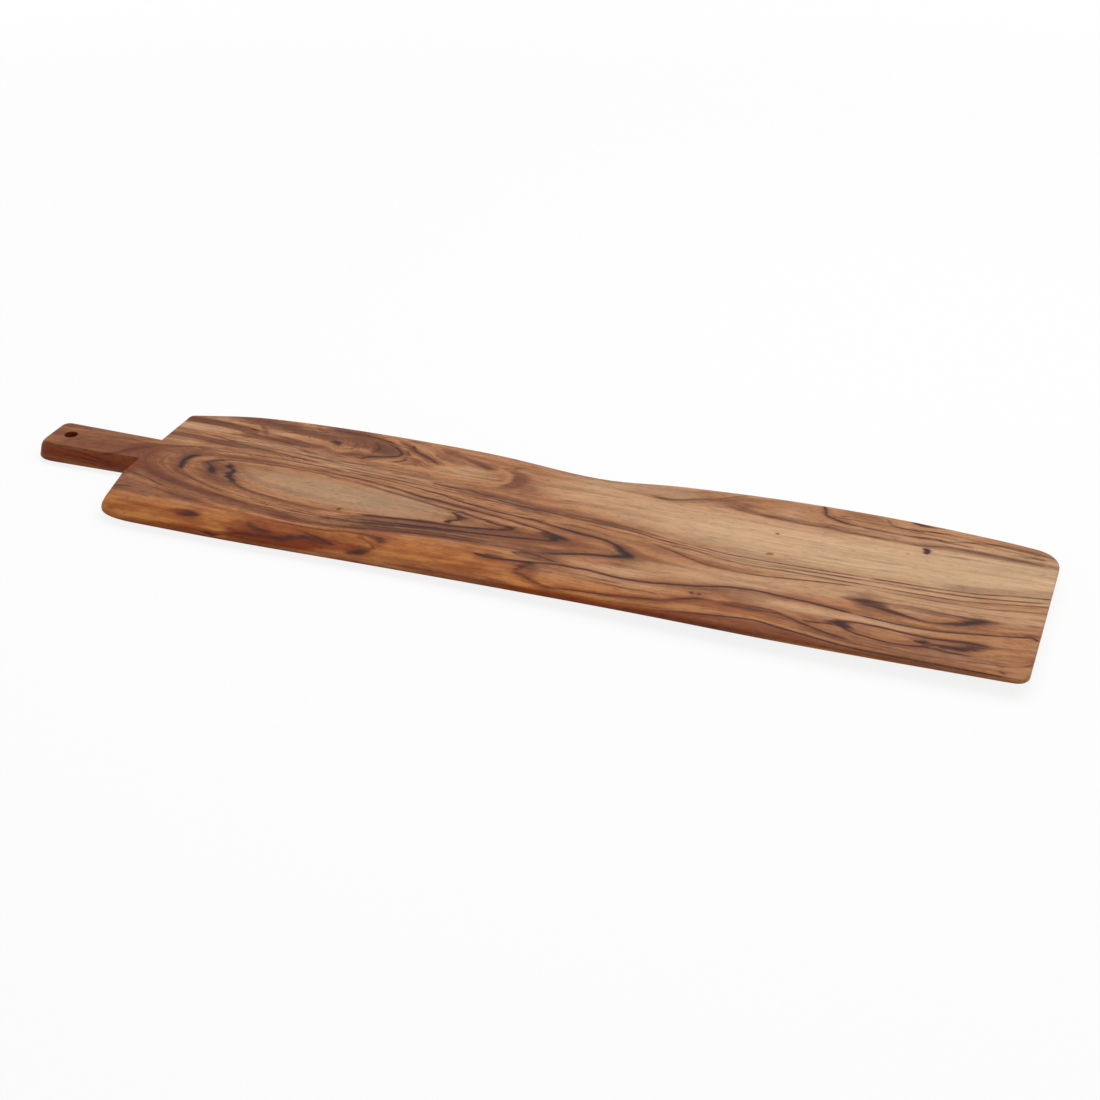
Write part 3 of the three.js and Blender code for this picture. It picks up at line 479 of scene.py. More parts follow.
# Brown patches, and painted shade under the handle's root, on its near side and along the near edge
BROWN_AND_SHADE = [
    # handle
    # painted shadow under the handle's root, beside the shoulder
    (0.9, 5, (-425,-49,0.4), (-405,-51,0.9), (-384,-53,1)),
    (0.45, 40, (-510,5,1), (-405,5), (-385,5,0.5)),
    # the handle's near side: partly wood tone, partly painted shade
    (1, 13, (-512,-34,1), (-412,-36), (-388,-40,1)),
    # far side
    (0.25, 5, (-383,77,1), (-340,74)),
    (0.2, 9, (-135,72), (-115,72), (-95,74)),
    (0.9, 6, (-386,83,1), (-360,83), (-325,80,0.8), (-300,75,0.5)),
    (0.35, 12, (-340,98), (-280,100), (-220,99), (-170,94), (-145,84,0.5)),
    (0.4, 9, (-178,86,0.7), (-160,84), (-146,81,0.4)),
    (0.7, 5, (-345,101), (-320,106), (-300,104), (-265,97), (-228,92), (-216,91)),
    (0.5, 3, (-304,97), (-297,88), (-290,79.5), (-285,73)),
    (0.65, 5, (-320,72), (-305,68.5), (-285,69), (-245,69), (-225,69.5), (-208,65)),
    (0.45, 3.6, (-386,46.5,1), (-360,46.5), (-308,43.4), (-285,42)),
    (0.45, 6, (-245,104), (-225,108), (-205,109,1.2), (-188,106), (-170,101)),
    (0.8, 10, (-172,92,0.7), (-162,86), (-152,81,0.9), (-146,80,0.5)),
    (0.55, 5, (-205,65), (-188,67.5), (-170,69.5), (-158,73)),
    (0.35, 8, (-196,84), (-186,86), (-178,88)),
    (0.5, 3.2, (-160,112), (-148,105), (-108,79.5), (-94,73)),
    (0.4, 10, (-226,104), (-200,104), (-176,99), (-158,90,0.6)),
    (0.35, 6, (-124,108), (-104,94), (-86,84)),
    (0.4, 5, (-128,79), (-121,72), (-115,66)),
    (0.4, 4.5, (-112,111), (-96,102), (-50,83.5), (-40,81)),
    (0.3, 6, (-24,88), (-12,78), (-8,66), (-14,55), (-28,47)),
    (0.4, 4, (-135,44), (-115,44), (-95,45.5), (-78,46)),
    (0.3, 8, (195,93), (208,90), (218,86)),
    (0.35, 5, (190,88), (230,83), (290,81), (350,77), (420,78), (498,76,1)),
    (0.15, 5, (285,112), (300,100), (340,93), (380,92)),
    # middle
    (0.35, 5, (-90,35), (-45,31), (0,27), (25,23), (100,16), (130,13)),
    (0.3, 8, (-220,-48), (-175,-47), (-140,-46)),
    (0.25, 8, (35,-64), (65,-63), (90,-64)),
    (0.25, 8, (-90,-64), (-50,-60), (0,-62)),
    (0.25, 2.4, (250,13,1), (252,13,1)),
    (0.3, 12, (40,-32), (75,-30), (110,-30)),
    (0.35, 5, (30,-51), (60,-50), (85,-45)),
    (0.5, 13, (-395,2,0.8), (-375,-8), (-368,-26), (-350,-36,0.7)),
    (0.5, 6, (-372,-27,0.7), (-352,-37), (-312,-50), (-254,-62.5), (-195,-72.5), (-178,-75)),
    (0.3, 18, (-395,-10,1), (-360,-20), (-310,-40), (-270,-50,0.5)),
    (0.25, 10, (-395,5,1), (-350,18), (-300,22), (-240,24,0.4)),
    (0.45, 4.5, (-331,11), (-337,2), (-337,-8), (-332,-20)),
    (0.5, 7.5, (-308,8,0.6), (-309,-2), (-302,-12), (-293,-20,0.5)),
    (0.3, 4, (-289,5,0.5), (-282,-12), (-270,-28,0.6)),
    (0.35, 6, (-362,8,0.7), (-350,16), (-335,22), (-312,26)),
    (0.3, 6, (-318,-16,0.6), (-300,-26), (-282,-33), (-262,-38)),
    (0.45, 7, (-150,-51), (-120,-50), (-85,-46), (-40,-40), (10,-36)),
    (0.3, 10, (-30,-30), (20,-32), (70,-34), (110,-32)),
    (0.35, 7, (30,-63), (60,-64), (90,-66)),
    (0.3, 9, (215,-70), (245,-68), (275,-66)),
    (0.6, 6.5, (-135,-71.5,0.6), (-102,-64), (-34,-53), (28,-49), (66,-50,0.5)),
    (0.35, 5, (-395,5), (-370,-45,0.8), (-355,-52)),
    (0.4, 3, (32,-64.5), (45,-64.5,1.1), (60,-65.5)),
    (0.35, 9, (330,-39), (348,-39), (365,-40)),
    (0.25, 5, (385,-37.5), (410,-38.5), (432,-38)),
    (0.2, 5, (400,11), (425,10), (475,22), (500,27,1)),
    (0.15, 3, (150,5), (200,0), (250,-3)),
    # near side; strokes below -120 across darken the near edge face: partly wood tone, partly painted shade
    (0.35, 6, (-374,-76,1), (-355,-78,0.8), (-335,-82,0.4)),
    (0.3, 9, (-245,-108), (-232,-106), (-222,-104)),
    (0.55, 7, (-310,-127), (-270,-126), (-230,-124)),
    (0.65, 6, (-298,-100,0.4), (-284,-100), (-270,-99.5,0.5)),
    (0.4, 5, (-215,-71), (-195,-74), (-175,-75.5), (-140,-72.5), (-122,-69)),
    (0.3, 10, (-25,-104), (5,-106), (35,-108)),
    (0.35, 5, (-335,-64), (-312,-69), (-290,-73), (-265,-76)),
    (0.45, 8, (52,-80,0.7), (57,-88), (63,-96,0.6)),
    (0.4, 4.5, (228,-83.5), (245,-83.7), (262,-83.7), (280,-84)),
    (0.35, 9, (-228,-98,0.6), (-205,-107), (-170,-108), (-130,-106), (-98,-106,0.7)),
    (0.25, 6, (-40,-126), (60,-126), (160,-124), (260,-122), (330,-126)),
    (0.9, 9, (-238,-124), (-222,-119), (-205,-119,1.2), (-155,-117), (-142,-116,0.6)),
    (0.4, 6, (-120,-112), (-108,-108,1.2), (-100,-104)),
    (0.6, 7, (-345,-133), (-320,-133), (-200,-134,0.4), (0,-128.5,0.4), (240,-126.5,0.8), (300,-126)),
    (0.45, 4, (-65,-122), (-30,-122), (110,-122.5), (260,-122), (310,-123)),
    (0.35, 4, (270,-113), (300,-116), (330,-119)),
    (0.5, 8, (40,-124), (90,-121,0.5), (150,-119,0.5), (220,-115), (262,-113), (300,-118), (360,-124)),
    (0.35, 5, (300,-126), (400,-125), (500,-125,1)),
]
# Sapwood and pale streaks, and a pale patch over the middle of the oval that is partly painted sheen
PALE = [
    # handle
    (0.2, 8, (-460,26), (-430,26), (-400,24)),
    # far side
    (0.3, 6, (110,112), (150,115), (200,118), (260,119), (310,118)),
    (0.28, 15, (285,103), (350,100), (420,96), (490,90)),
    (0.35, 8, (30,110), (80,106), (140,112), (180,116)),
    (0.4, 12, (0,100), (60,93), (130,95), (185,88)),
    (0.9, 42, (10,66,0.25), (60,66,0.6), (120,54,0.7), (200,42,0.9), (300,38,0.95), (520,46,1)),
    (0.5, 7.5, (-386,68,1), (-355,68.5), (-328,68,0.6)),
    (0.35, 4, (-386,35,1), (-355,35), (-335,36)),
    (0.35, 4, (-368,93), (-345,94), (-322,92)),
    (0.35, 5, (-295,84), (-272,83), (-248,82)),
    (0.5, 12, (-95,66,0.5), (-65,67), (-38,65,0.6)),
    (0.25, 8, (-160,38), (-120,39), (-80,40), (-40,39)),
    (0.3, 9, (-320,56,0.6), (-280,54), (-230,50), (-180,42), (-140,38,0.6)),
    (0.4, 10, (235,95), (250,96), (262,98)),
    # middle
    (0.42, 12, (160,-4), (230,-8), (300,-8), (380,-6), (450,0)),
    (0.5, 9, (290,19), (340,21), (390,20), (430,26), (480,38)),
    # over the middle of the oval: partly pale wood, partly painted sheen
    (0.4, 22, (-265,-8,0.5), (-200,-14), (-100,-17), (-60,-20,0.6)),
    (0.25, 6, (-250,30,0.6), (-200,31), (-150,27,0.6)),
    (0.5, 14, (140,-48,0.5), (200,-44), (260,-41), (320,-30), (500,-22,1)),
    (0.5, 8, (90,-64), (140,-63), (180,-56)),
    (0.35, 6, (372,-43), (400,-45), (425,-44)),
    # near side
    (0.3, 5, (390,-124), (440,-124), (490,-122)),
    (0.4, 7, (75,-83), (120,-80), (165,-82), (200,-78)),
    (0.45, 8, (240,-66,0.7), (280,-70), (370,-71.5), (420,-73)),
    (0.3, 5, (400,-103), (440,-101), (480,-108)),
    (0.25, 4, (-320,-79), (-290,-82), (-255,-86)),
    (0.3, 3, (-250,-75), (-215,-78.5), (-175,-81.5), (-150,-81)),
]
# Orange wood
WARM = [
    # handle
    (0.5, 15, (-510,-33,1), (-384,-30,1)),
    (0.3, 30, (-510,5,1), (-440,5), (-385,5,0.5)),
    # far side
    (0.2, 14, (300,100), (360,100), (420,95), (490,92)),
    # middle
    (1, 2.4, (250,13,1), (252,13,1)),
    (0.25, 18, (-20,-35), (30,-33), (90,-30), (130,-28)),
    (0.25, 30, (-385,0,1), (-340,-30), (-280,-60), (-200,-70), (-120,-70)),
    # near side
    (0.9, 26, (-400,-105,1), (-340,-110), (-170,-105), (-120,-98), (-40,-92), (10,-93), (45,-98,0.7)),
    (1, 16, (20,-112), (70,-114), (120,-113,0.9), (170,-112,0.7), (220,-114,0.45), (270,-115,0.4),
        (330,-122)),
    (0.45, 14, (60,-90), (120,-92), (180,-92), (240,-92), (300,-100)),
    (0.25, 9, (-120,-128,1), (100,-125), (500,-125,1)),
    (0.2, 18, (180,-95), (260,-95), (340,-100), (420,-95)),
]
# Where fibres pull the lines out to feathers
FEATHER = [
    (0.6, 18, (-318,-4,0.6), (-300,-10), (-280,-14), (-268,-24)),
    (1, 18, (-60,-30,0.6), (-36,-22), (20,-22), (60,-26), (128,-33)),
    (0.8, 20, (-240,-112), (-180,-106), (-130,-100), (-88,-96)),
    (0.6, 16, (0,-78), (50,-86), (70,-100)),
    (0.8, 14, (335,-42), (400,-48), (450,-42)),
    (0.8, 12, (320,-84), (400,-90), (455,-90)),
]
# Where rings show
LIVELY = [
    (0.9, 34, (-400,-5,1), (-330,-30), (-250,-55), (-150,-65), (-40,-58), (60,-50)),
    (0.9, 20, (-400,12,1), (-300,26), (-200,28), (-100,22), (0,10), (100,5)),
    (0.8, 40, (-390,75,1), (-300,75), (-180,85), (-120,80), (-40,70)),
    (0.5, 34, (-512,0,1), (-390,0,1)),
]
# Grey stains, and a grey patch of painted sheen over the middle of the oval
STAIN_AND_SHEEN = [
    # far side
    (0.3, 2, (300,55), (315,57.5), (327,60.5), (342,65)),
    (0.6, 2.5, (390,60), (405,63), (420,64), (446,65.3)),
    (0.55, 2, (332,31), (358,34), (378,36.5)),
    (0.3, 8, (100,96), (130,93), (155,97), (172,104)),
    (0.25, 6, (30,96), (60,90), (90,92)),
    (0.12, 7, (-20,96), (-10,84), (-2,70)),
    # middle
    (0.75, 2.4, (200,10), (214,10.5), (228,12), (246,11)),
    (0.65, 1.8, (182,24), (195,23.8), (208,23.5)),
    (0.55, 2, (262,11), (280,10.5), (300,9)),
    (0.7, 1.8, (286,24.3), (300,23.2), (320,23), (342,23)),
    (0.65, 2, (332,16.5), (352,18.3), (366,20), (382,24)),
    (0.25, 4, (-30,28), (0,25), (30,22)),
    # painted sheen: a grey patch over the middle of the oval
    (0.5, 20, (-270,-5,0.5), (-200,-12), (-120,-18), (-60,-20,0.5)),
    (0.3, 6, (395,12), (425,11), (450,16)),
]

# The hang hole's middle and the radius that counts as its wall, in millimetres, from the frame
hole_low, hole_high = np.array(frame["record"]["physics"]["openings"][0]["box_m"]) / MM
hole_x, hole_y = (hole_low + hole_high)[:2] / 2
hole_radius = HOLE_REACH * (hole_high - hole_low)[0]

rng = np.random.default_rng(SEED)
columns = np.arange(RASTER_LOW[0], RASTER_HIGH[0] + CELL, CELL)
rows = np.arange(RASTER_LOW[1], RASTER_HIGH[1] + CELL, CELL)


def between(share, low, high):
    return low + (high - low) * share


def curve(points, step=CURVE_STEP):
    """Points along a smooth curve through the given ones, with the scale of the stroke as a third number."""
    last = len(points) - 1
    full = [p if len(p) > 2 else (*p, TAPER if i in (0, last) else 1.0) for i, p in enumerate(points)]
    p = np.array(full, float)
    p = np.vstack([2 * p[0] - p[1], p, 2 * p[-1] - p[-2]])
    out = []
    for a, b, c, d in zip(p[:-3], p[1:-2], p[2:-1], p[3:]):
        count = max(1, int(np.hypot(*(c - b)[:2]) / step))
        t = np.linspace(0, 1, count, endpoint=False)[:, None]
        bend = (2 * a - 5 * b + 4 * c - d) * t ** 2
        q = 0.5 * (2 * b + (c - a) * t + bend + (3 * b - a - 3 * c + d) * t ** 3)
        q[:, 2:] = between(t, b[2], c[2])
        out.append(q)
    return np.vstack([*out, p[-2:-1]])


def points_along(side, shares):
    """Points at the given shares of the way along a curve."""
    place = shares * (len(side) - 1)
    return np.stack([np.interp(place, range(len(side)), axis) for axis in side.T], 1)


def bundle_lines():
    """Strokes for the bundles: each keeps its place between two sides, and starts and stops at random."""
    strokes = []
    for count, strength, half, *sides in BUNDLES:
        sides = [curve(points)[:, :2] for points in sides]
        for k in range(count):
            share = (k + rng.uniform(*BUNDLE_PLACE)) / count
            start = rng.uniform(*BUNDLE_START)
            end = min(start + rng.uniform(*BUNDLE_LENGTH), 1)
            shares = np.linspace(start, end, BUNDLE_POINTS)
            line = between(share, *[points_along(side, shares) for side in sides])
            power = strength * rng.uniform(*BUNDLE_STRENGTH)
            strokes.append((power, half * rng.uniform(*BUNDLE_WIDTH), *line.tolist()))
    return strokes


def span(axis, low, high):
    return slice(*np.searchsorted(axis, (low, high)))


def nearness(line, half, reach, squeeze=1.0):
    """Part of the raster around a curve: its rows, its columns, distance in half widths, and the scale there.

    Squeeze shortens distances along the board, which draws the shapes around a line's ends out.
    """
    reach = np.array((reach / squeeze, reach))
    low, high = line[:, :2].min(0) - reach, line[:, :2].max(0) + reach
    across, along = span(rows, low[1], high[1]), span(columns, low[0], high[0])
    gap = np.full((across.stop - across.start, along.stop - along.start), np.inf)
    scale = np.zeros_like(gap)
    for a, b in zip(line[:-1], line[1:]):
        low, high = np.minimum(a, b)[:2] - reach, np.maximum(a, b)[:2] + reach
        j, i = span(rows[across], low[1], high[1]), span(columns[along], low[0], high[0])
        ex, ey = squeeze * (columns[along][i][None, :] - a[0]), rows[across][j][:, None] - a[1]
        dx, dy = (b - a)[:2] * (squeeze, 1)
        t = np.clip((ex * dx + ey * dy) / max(dx * dx + dy * dy, 1e-9), 0, 1)
        w = between(t, a[2], b[2])
        r = np.hypot(ex - t * dx, ey - t * dy) / (half * np.maximum(w, THINNEST))
        closer = r < gap[j, i]
        gap[j, i] = np.where(closer, r, gap[j, i])
        scale[j, i] = np.where(closer, np.minimum(w, 1), scale[j, i])
    return across, along, gap, scale


def thin_line(gap):
    return np.exp(-LINE_FALL * gap ** 2)


def shoulder(gap):
    return SHOULDER_HEIGHT * np.exp(-(gap / SHOULDER_WIDTH) ** 2)


def patch(gap):
    inner, outer = PATCH_EDGES
    s = np.clip((outer - gap) / (outer - inner), 0, 1)
    return s * s * (3 - 2 * s)


# How far from its curve each cover is painted, in half widths
REACH = {thin_line: 2.4, shoulder: 6.0, patch: 1.7}


def paint(strokes, cover):
    """How far the strokes cover each cell, where cover turns a distance in half widths to a share."""
    bare = np.ones((len(rows), len(columns)))
    for strength, half, *points in strokes:
        line = curve(points)
        j, i, gap, scale = nearness(line, half, REACH[cover] * half * line[:, 2].max())
        bare[j, i] *= 1 - np.clip(strength * scale * cover(gap), 0, 1)
    return 1 - bare


def look(field, x, y):
    """Value of a raster field at any points, by straight lines between its cells."""
    i = np.clip((x - columns[0]) / CELL, 0, len(columns) - INSIDE)
    j = np.clip((y - rows[0]) / CELL, 0, len(rows) - INSIDE)
    i0, j0 = i.astype(int), j.astype(int)
    fi, fj = i - i0, j - j0
    upper = field[j0, i0] * (1 - fi) + field[j0, i0 + 1] * fi
    lower = field[j0 + 1, i0] * (1 - fi) + field[j0 + 1, i0 + 1] * fi
    return upper * (1 - fj) + lower * fj


def whole(coarse, skip):
    """A field given at every so many cells, filled in over the whole raster."""
    wide = np.array([np.interp(columns, columns[::skip], line) for line in coarse])
    return np.array([np.interp(rows, rows[::skip], line) for line in wide.T]).T


def grain_direction():
    """Cosine and sine of the grain's angle: along the traced lines near by, else along the board.

    Angles are doubled in between, so that a line counts the same both ways.
    """
    x, y = np.meshgrid(columns[::GRAIN_SKIP], rows[::GRAIN_SKIP])
    double_cos = np.full(x.shape, GRAIN_PLAIN)
    double_sin = np.zeros(x.shape)
    for strength, _, *points in INK:
        line = curve(points, GRAIN_STEP)
        if np.ptp(line[:, :2], axis=0).max() < LONG_LINE:
            continue
        for a, b in zip(line[:-1], line[1:]):
            (dx, dy), middle = (b - a)[:2], (a + b) / 2
            far = (x - middle[0]) ** 2 + GRAIN_ACROSS * (y - middle[1]) ** 2 + GRAIN_NEAR
            weight = strength / math.hypot(dx, dy) / far ** GRAIN_FALL
            double_cos += weight * (dx * dx - dy * dy)
            double_sin += weight * 2 * dx * dy
    size = np.hypot(double_cos, double_sin)
    double_cos, double_sin = whole(double_cos / size, GRAIN_SKIP), whole(double_sin / size, GRAIN_SKIP)
    angle = 0.5 * np.arctan2(double_sin, double_cos)
    return np.cos(angle), np.sin(angle)


def soft_noise(passes):
    """Noise over the raster, made softer by the given number of passes."""
    noise = rng.standard_normal((len(rows), len(columns)))
    for _ in range(passes):
        for axis in (0, 1):
            noise = (np.roll(noise, 1, axis) + 2 * noise + np.roll(noise, -1, axis)) / 4
    return noise


def streaks(noise, grain, steps, stride, skip):
    """Noise drawn out along the grain, with mean 0 and spread 1, worked out at every so many cells."""
    total = noise[::skip, ::skip].copy()
    for sign in (1.0, -1.0):
        x, y = np.meshgrid(columns[::skip], rows[::skip])
        dx, dy = grain[0][::skip, ::skip] * sign, grain[1][::skip, ::skip] * sign
        for _ in range(steps):
            x, y = x + dx * stride, y + dy * stride
            nx, ny = look(grain[0], x, y), look(grain[1], x, y)
            turn = np.where(nx * dx + ny * dy < 0, -1, 1)
            dx, dy = nx * turn, ny * turn
            total += look(noise, x, y)
    return whole((total - total.mean()) / total.std(), skip)


def line_distance():
    """Distance of each cell to the nearest long line of the figure, up to RING_REACH."""
    near = np.full((len(rows), len(columns)), RING_REACH)
    for _, _, *points in INK:
        line = curve(points)
        line[:, 2] = 1.0
        if np.ptp(line[:, 0]) > LONG_LINE:
            j, i, gap, _ = nearness(line, 1.0, RING_REACH, SQUEEZE)
            near[j, i] = np.minimum(near[j, i], gap)
    return near


def wood_fields():
    """What each vertex carries, as three vectors: the figure, what tints it, and what drives the rings."""
    grain = grain_direction()
    fine = streaks(soft_noise(1), grain, steps=30, stride=1.8, skip=1)
    broad = streaks(soft_noise(8), grain, steps=30, stride=1.8, skip=2)
    rings = streaks(soft_noise(40), grain, steps=60, stride=4.0, skip=3)
    beside = line_distance()
    # pale and grey include a patch of painted sheen over the middle of the oval
    pale, warm, stain_and_sheen = [paint(strokes, patch) for strokes in (PALE, WARM, STAIN_AND_SHEEN)]
    heart = 1 - pale
    ink = INK_AMOUNT * paint(INK + bundle_lines(), thin_line)
    # brown patches, with the painted shade among them
    brown = BROWN_AMOUNT * paint(BROWN_AND_SHADE, patch) + SHOULDER_AMOUNT * heart * paint(INK, shoulder)
    straight = np.ones_like(fine), np.zeros_like(fine)
    fibres = streaks(soft_noise(3), straight, steps=8, stride=2.0, skip=2)
    pull = broad + FEATHER_PULL * paint(FEATHER, patch) * fibres
    x, y = np.meshgrid(columns, rows)
    ink, brown = look(ink, x + pull, y), look(brown, x + pull, y)
    brown -= BUNDLE_LOSS * paint(bundle_lines(), thin_line)
    noise = PLAIN_BROWN + BROAD_BROWN * broad + FINE_BROWN * fine
    brown += noise * between(heart, PALE_KEEPS, 1) * between(warm, 1, WARM_KEEPS)
    lively = between(paint(LIVELY, patch), CALM_LIVELY, 1)
    lively *= (1 - np.maximum(pale, stain_and_sheen)) * between(warm, 1, WARM_LIVELY)
    return {"figure": (ink, brown, pale), "tint": (warm, stain_and_sheen, fine), "growth": (rings, beside, lively)}


def pick(which, *corners):
    """Triangles with the given corners, where they are wanted."""
    return [np.stack(three, 1)[which] for three in corners]


def split_long_edges(points, triangles):
    """One pass that halves each edge longer than its limit; returns the new points and triangles."""
    sides = np.sort(triangles[:, [[0, 1], [1, 2], [2, 0]]].reshape(-1, 2), axis=1)
    key, which = np.unique(sides[:, 0] * len(points) + sides[:, 1], return_inverse=True)
    a, b = points[key // len(points)], points[key % len(points)]
    centre = (a + b) / 2
    limit = np.where(centre[:, 2:] > UNDERSIDE, FINE_EDGE, COARSE_EDGE)
    long = np.linalg.norm((a - b) / limit, axis=1) > 1
    middle = np.where(long, len(points) + np.cumsum(long) - 1, -1)[which].reshape(-1, 3)
    count = (middle >= 0).sum(1)
    out = [triangles[count == 0]]
    for turn in range(3):
        a, b, c = np.roll(triangles, -turn, axis=1).T
        ab, bc, ca = np.roll(middle, -turn, axis=1).T
        out += pick((count == 1) & (ab >= 0), (a, ab, c), (ab, b, c))
        out += pick((count == 2) & (ca < 0), (ab, b, bc), (a, ab, bc), (a, bc, c))
    out += pick(count == 3, (a, ab, ca), (ab, b, bc), (ca, bc, c), (ab, bc, ca))
    return np.vstack([points, centre[long]]), np.vstack(out)


def refined(node):
    """Points in millimetres and triangles of a CAD node, split fine enough to carry the figure."""
    bm = bmesh.new()
    bm.from_mesh(frame["nodes"][node].data)
    bmesh.ops.remove_doubles(bm, verts=bm.verts, dist=MERGE * MM)
    bmesh.ops.dissolve_limit(bm, angle_limit=math.radians(FLAT_ANGLE), verts=bm.verts, edges=bm.edges)
    for axis in (0, 1):
        places = [v.co[axis] for v in bm.verts]
        normal = [float(axis == k) for k in range(3)]
        for place in np.arange(min(places) + GRID * MM / 2, max(places), GRID * MM):
            cut = [place * n for n in normal]
            bmesh.ops.bisect_plane(bm, geom=[*bm.verts, *bm.edges, *bm.faces], plane_co=cut, plane_no=normal)
    bmesh.ops.triangulate(bm, faces=bm.faces, ngon_method="BEAUTY")
    bm.verts.index_update()
    points = np.array([v.co for v in bm.verts]) / MM
    triangles = np.array([[v.index for v in face.verts] for face in bm.faces])
    bm.free()
    count = 0
    while count < len(triangles):
        count = len(triangles)
        points, triangles = split_long_edges(points, triangles)
    return points, triangles


def placed(name, data):
    """A new object in the scene."""
    thing = bpy.data.objects.new(name, data)
    bpy.context.scene.collection.objects.link(thing)
    return thing


def carry(mesh, points, fields):
    """Writes the fields to the points of a stave's mesh."""
    depth = cad_high.z / MM - points[:, 2]
    x, y = points[:, 0] + LEAN[0] * depth, points[:, 1] + LEAN[1] * depth
    bored = np.hypot(points[:, 0] - hole_x, points[:, 1] - hole_y) < hole_radius
    for attribute, parts in fields.items():
        values = np.stack([look(part, x, y) for part in parts], 1)
        # painted shade: the wall inside the hang hole takes a dark warm brown
        values[bored & (depth > HOLE_RIM)] = HOLE_WALL_SHADE[attribute]
        if attribute == "figure":
            values[points[:, 2] < UNDERSIDE] *= UNDERSIDE_SHARE
        layer = mesh.attributes.new(attribute, "FLOAT_VECTOR", "POINT")
        layer.data.foreach_set("vector", values.ravel())


def stave(name, node, joint_shift, fields, material):
    """The visual piece for a CAD stave; joint_shift moves an outer stave's joint face up to its neighbour."""
    points, triangles = refined(node)
    if joint_shift:
        face = points[:, 1].min() if joint_shift < 0 else points[:, 1].max()
        points[np.abs(points[:, 1] - face) < JOINT_SLACK, 1] += joint_shift
    mesh = bpy.data.meshes.new(name)
    mesh.from_pydata(points * MM, [], triangles)
    mesh.shade_smooth()
    mesh.set_sharp_from_angle(angle=math.radians(SHARP_ANGLE))
    carry(mesh, points, fields)
    mesh.materials.append(material)
    piece = placed(name, mesh)
    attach(piece, "root")
    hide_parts(node)


class Nodes:
    """Short calls for a node tree: an input is a number, a colour or another node's output."""

    def __init__(self, owner):
        owner.use_nodes = True
        self.tree = owner.node_tree
        self.tree.nodes.clear()

    def add(self, kind, inputs, output=0, **settings):
        node = self.tree.nodes.new("ShaderNode" + kind)
        for key, value in settings.items():
            setattr(node, key, value)
        for key, value in inputs.items():
            if isinstance(value, bpy.types.NodeSocket):
                self.tree.links.new(value, node.inputs[key])
            else:
                node.inputs[key].default_value = value
        return node.outputs[output] if len(node.outputs) else node

    def math(self, operation, a, b=0.0, c=0.0):
        return self.add("Math", {0: a, 1: b, 2: c}, operation=operation)

    def times(self, a, b):
        return self.math("MULTIPLY", a, b)

    def plus(self, base, amount, value):
        """The base plus so much of a value."""
        return self.math("MULTIPLY_ADD", value, amount, base)

    def mix(self, share, a, b, blend="MIX"):
        return self.add("Mix", {0: share, 6: a, 7: b}, 2, data_type="RGBA", blend_type=blend)

    def ramp(self, value, low, high, start=0.0, end=1.0):
        inputs = {"Value": value, "From Min": low, "From Max": high, "To Min": start, "To Max": end}
        return self.add("MapRange", inputs, interpolation_type="SMOOTHSTEP")

    def noise(self, per_metre, detail, rough, offset):
        place = self.add("TexCoord", {}, "Object")
        shift = (offset, offset, offset)
        place = self.add("Mapping", {"Vector": place, "Location": shift, "Scale": per_metre})
        return self.add("TexNoise", {"Vector": place, "Scale": 1.0, "Detail": detail, "Roughness": rough})

    def parts(self, attribute):
        vector = self.add("Attribute", {}, "Vector", attribute_name=attribute)
        return self.add("SeparateXYZ", {"Vector": vector}).node.outputs[:3]

    def surface(self, tone, roughness, specular, height, bump):
        normal = self.add("Bump", {"Height": height, **bump})
        shader = self.add("BsdfPrincipled", {"Base Color": tone, "Roughness": roughness, "Normal": normal,
                                             "Specular IOR Level": specular})
        self.add("OutputMaterial", {"Surface": shader})


def growth_rings(n):
    """Rings beside the traced lines: dark above 0, light below, and strong where the wood is lively."""
    rings, beside, lively = n.parts("growth")
    place = n.plus(n.times(beside, RING_PACE), RING_BEND, rings)
    ring = n.add("TexNoise", {"W": place, **RING_NOISE}, noise_dimensions="1D")
    return n.times(n.math("SUBTRACT", n.ramp(ring, *RING_EDGES), RING_MIDDLE), lively)


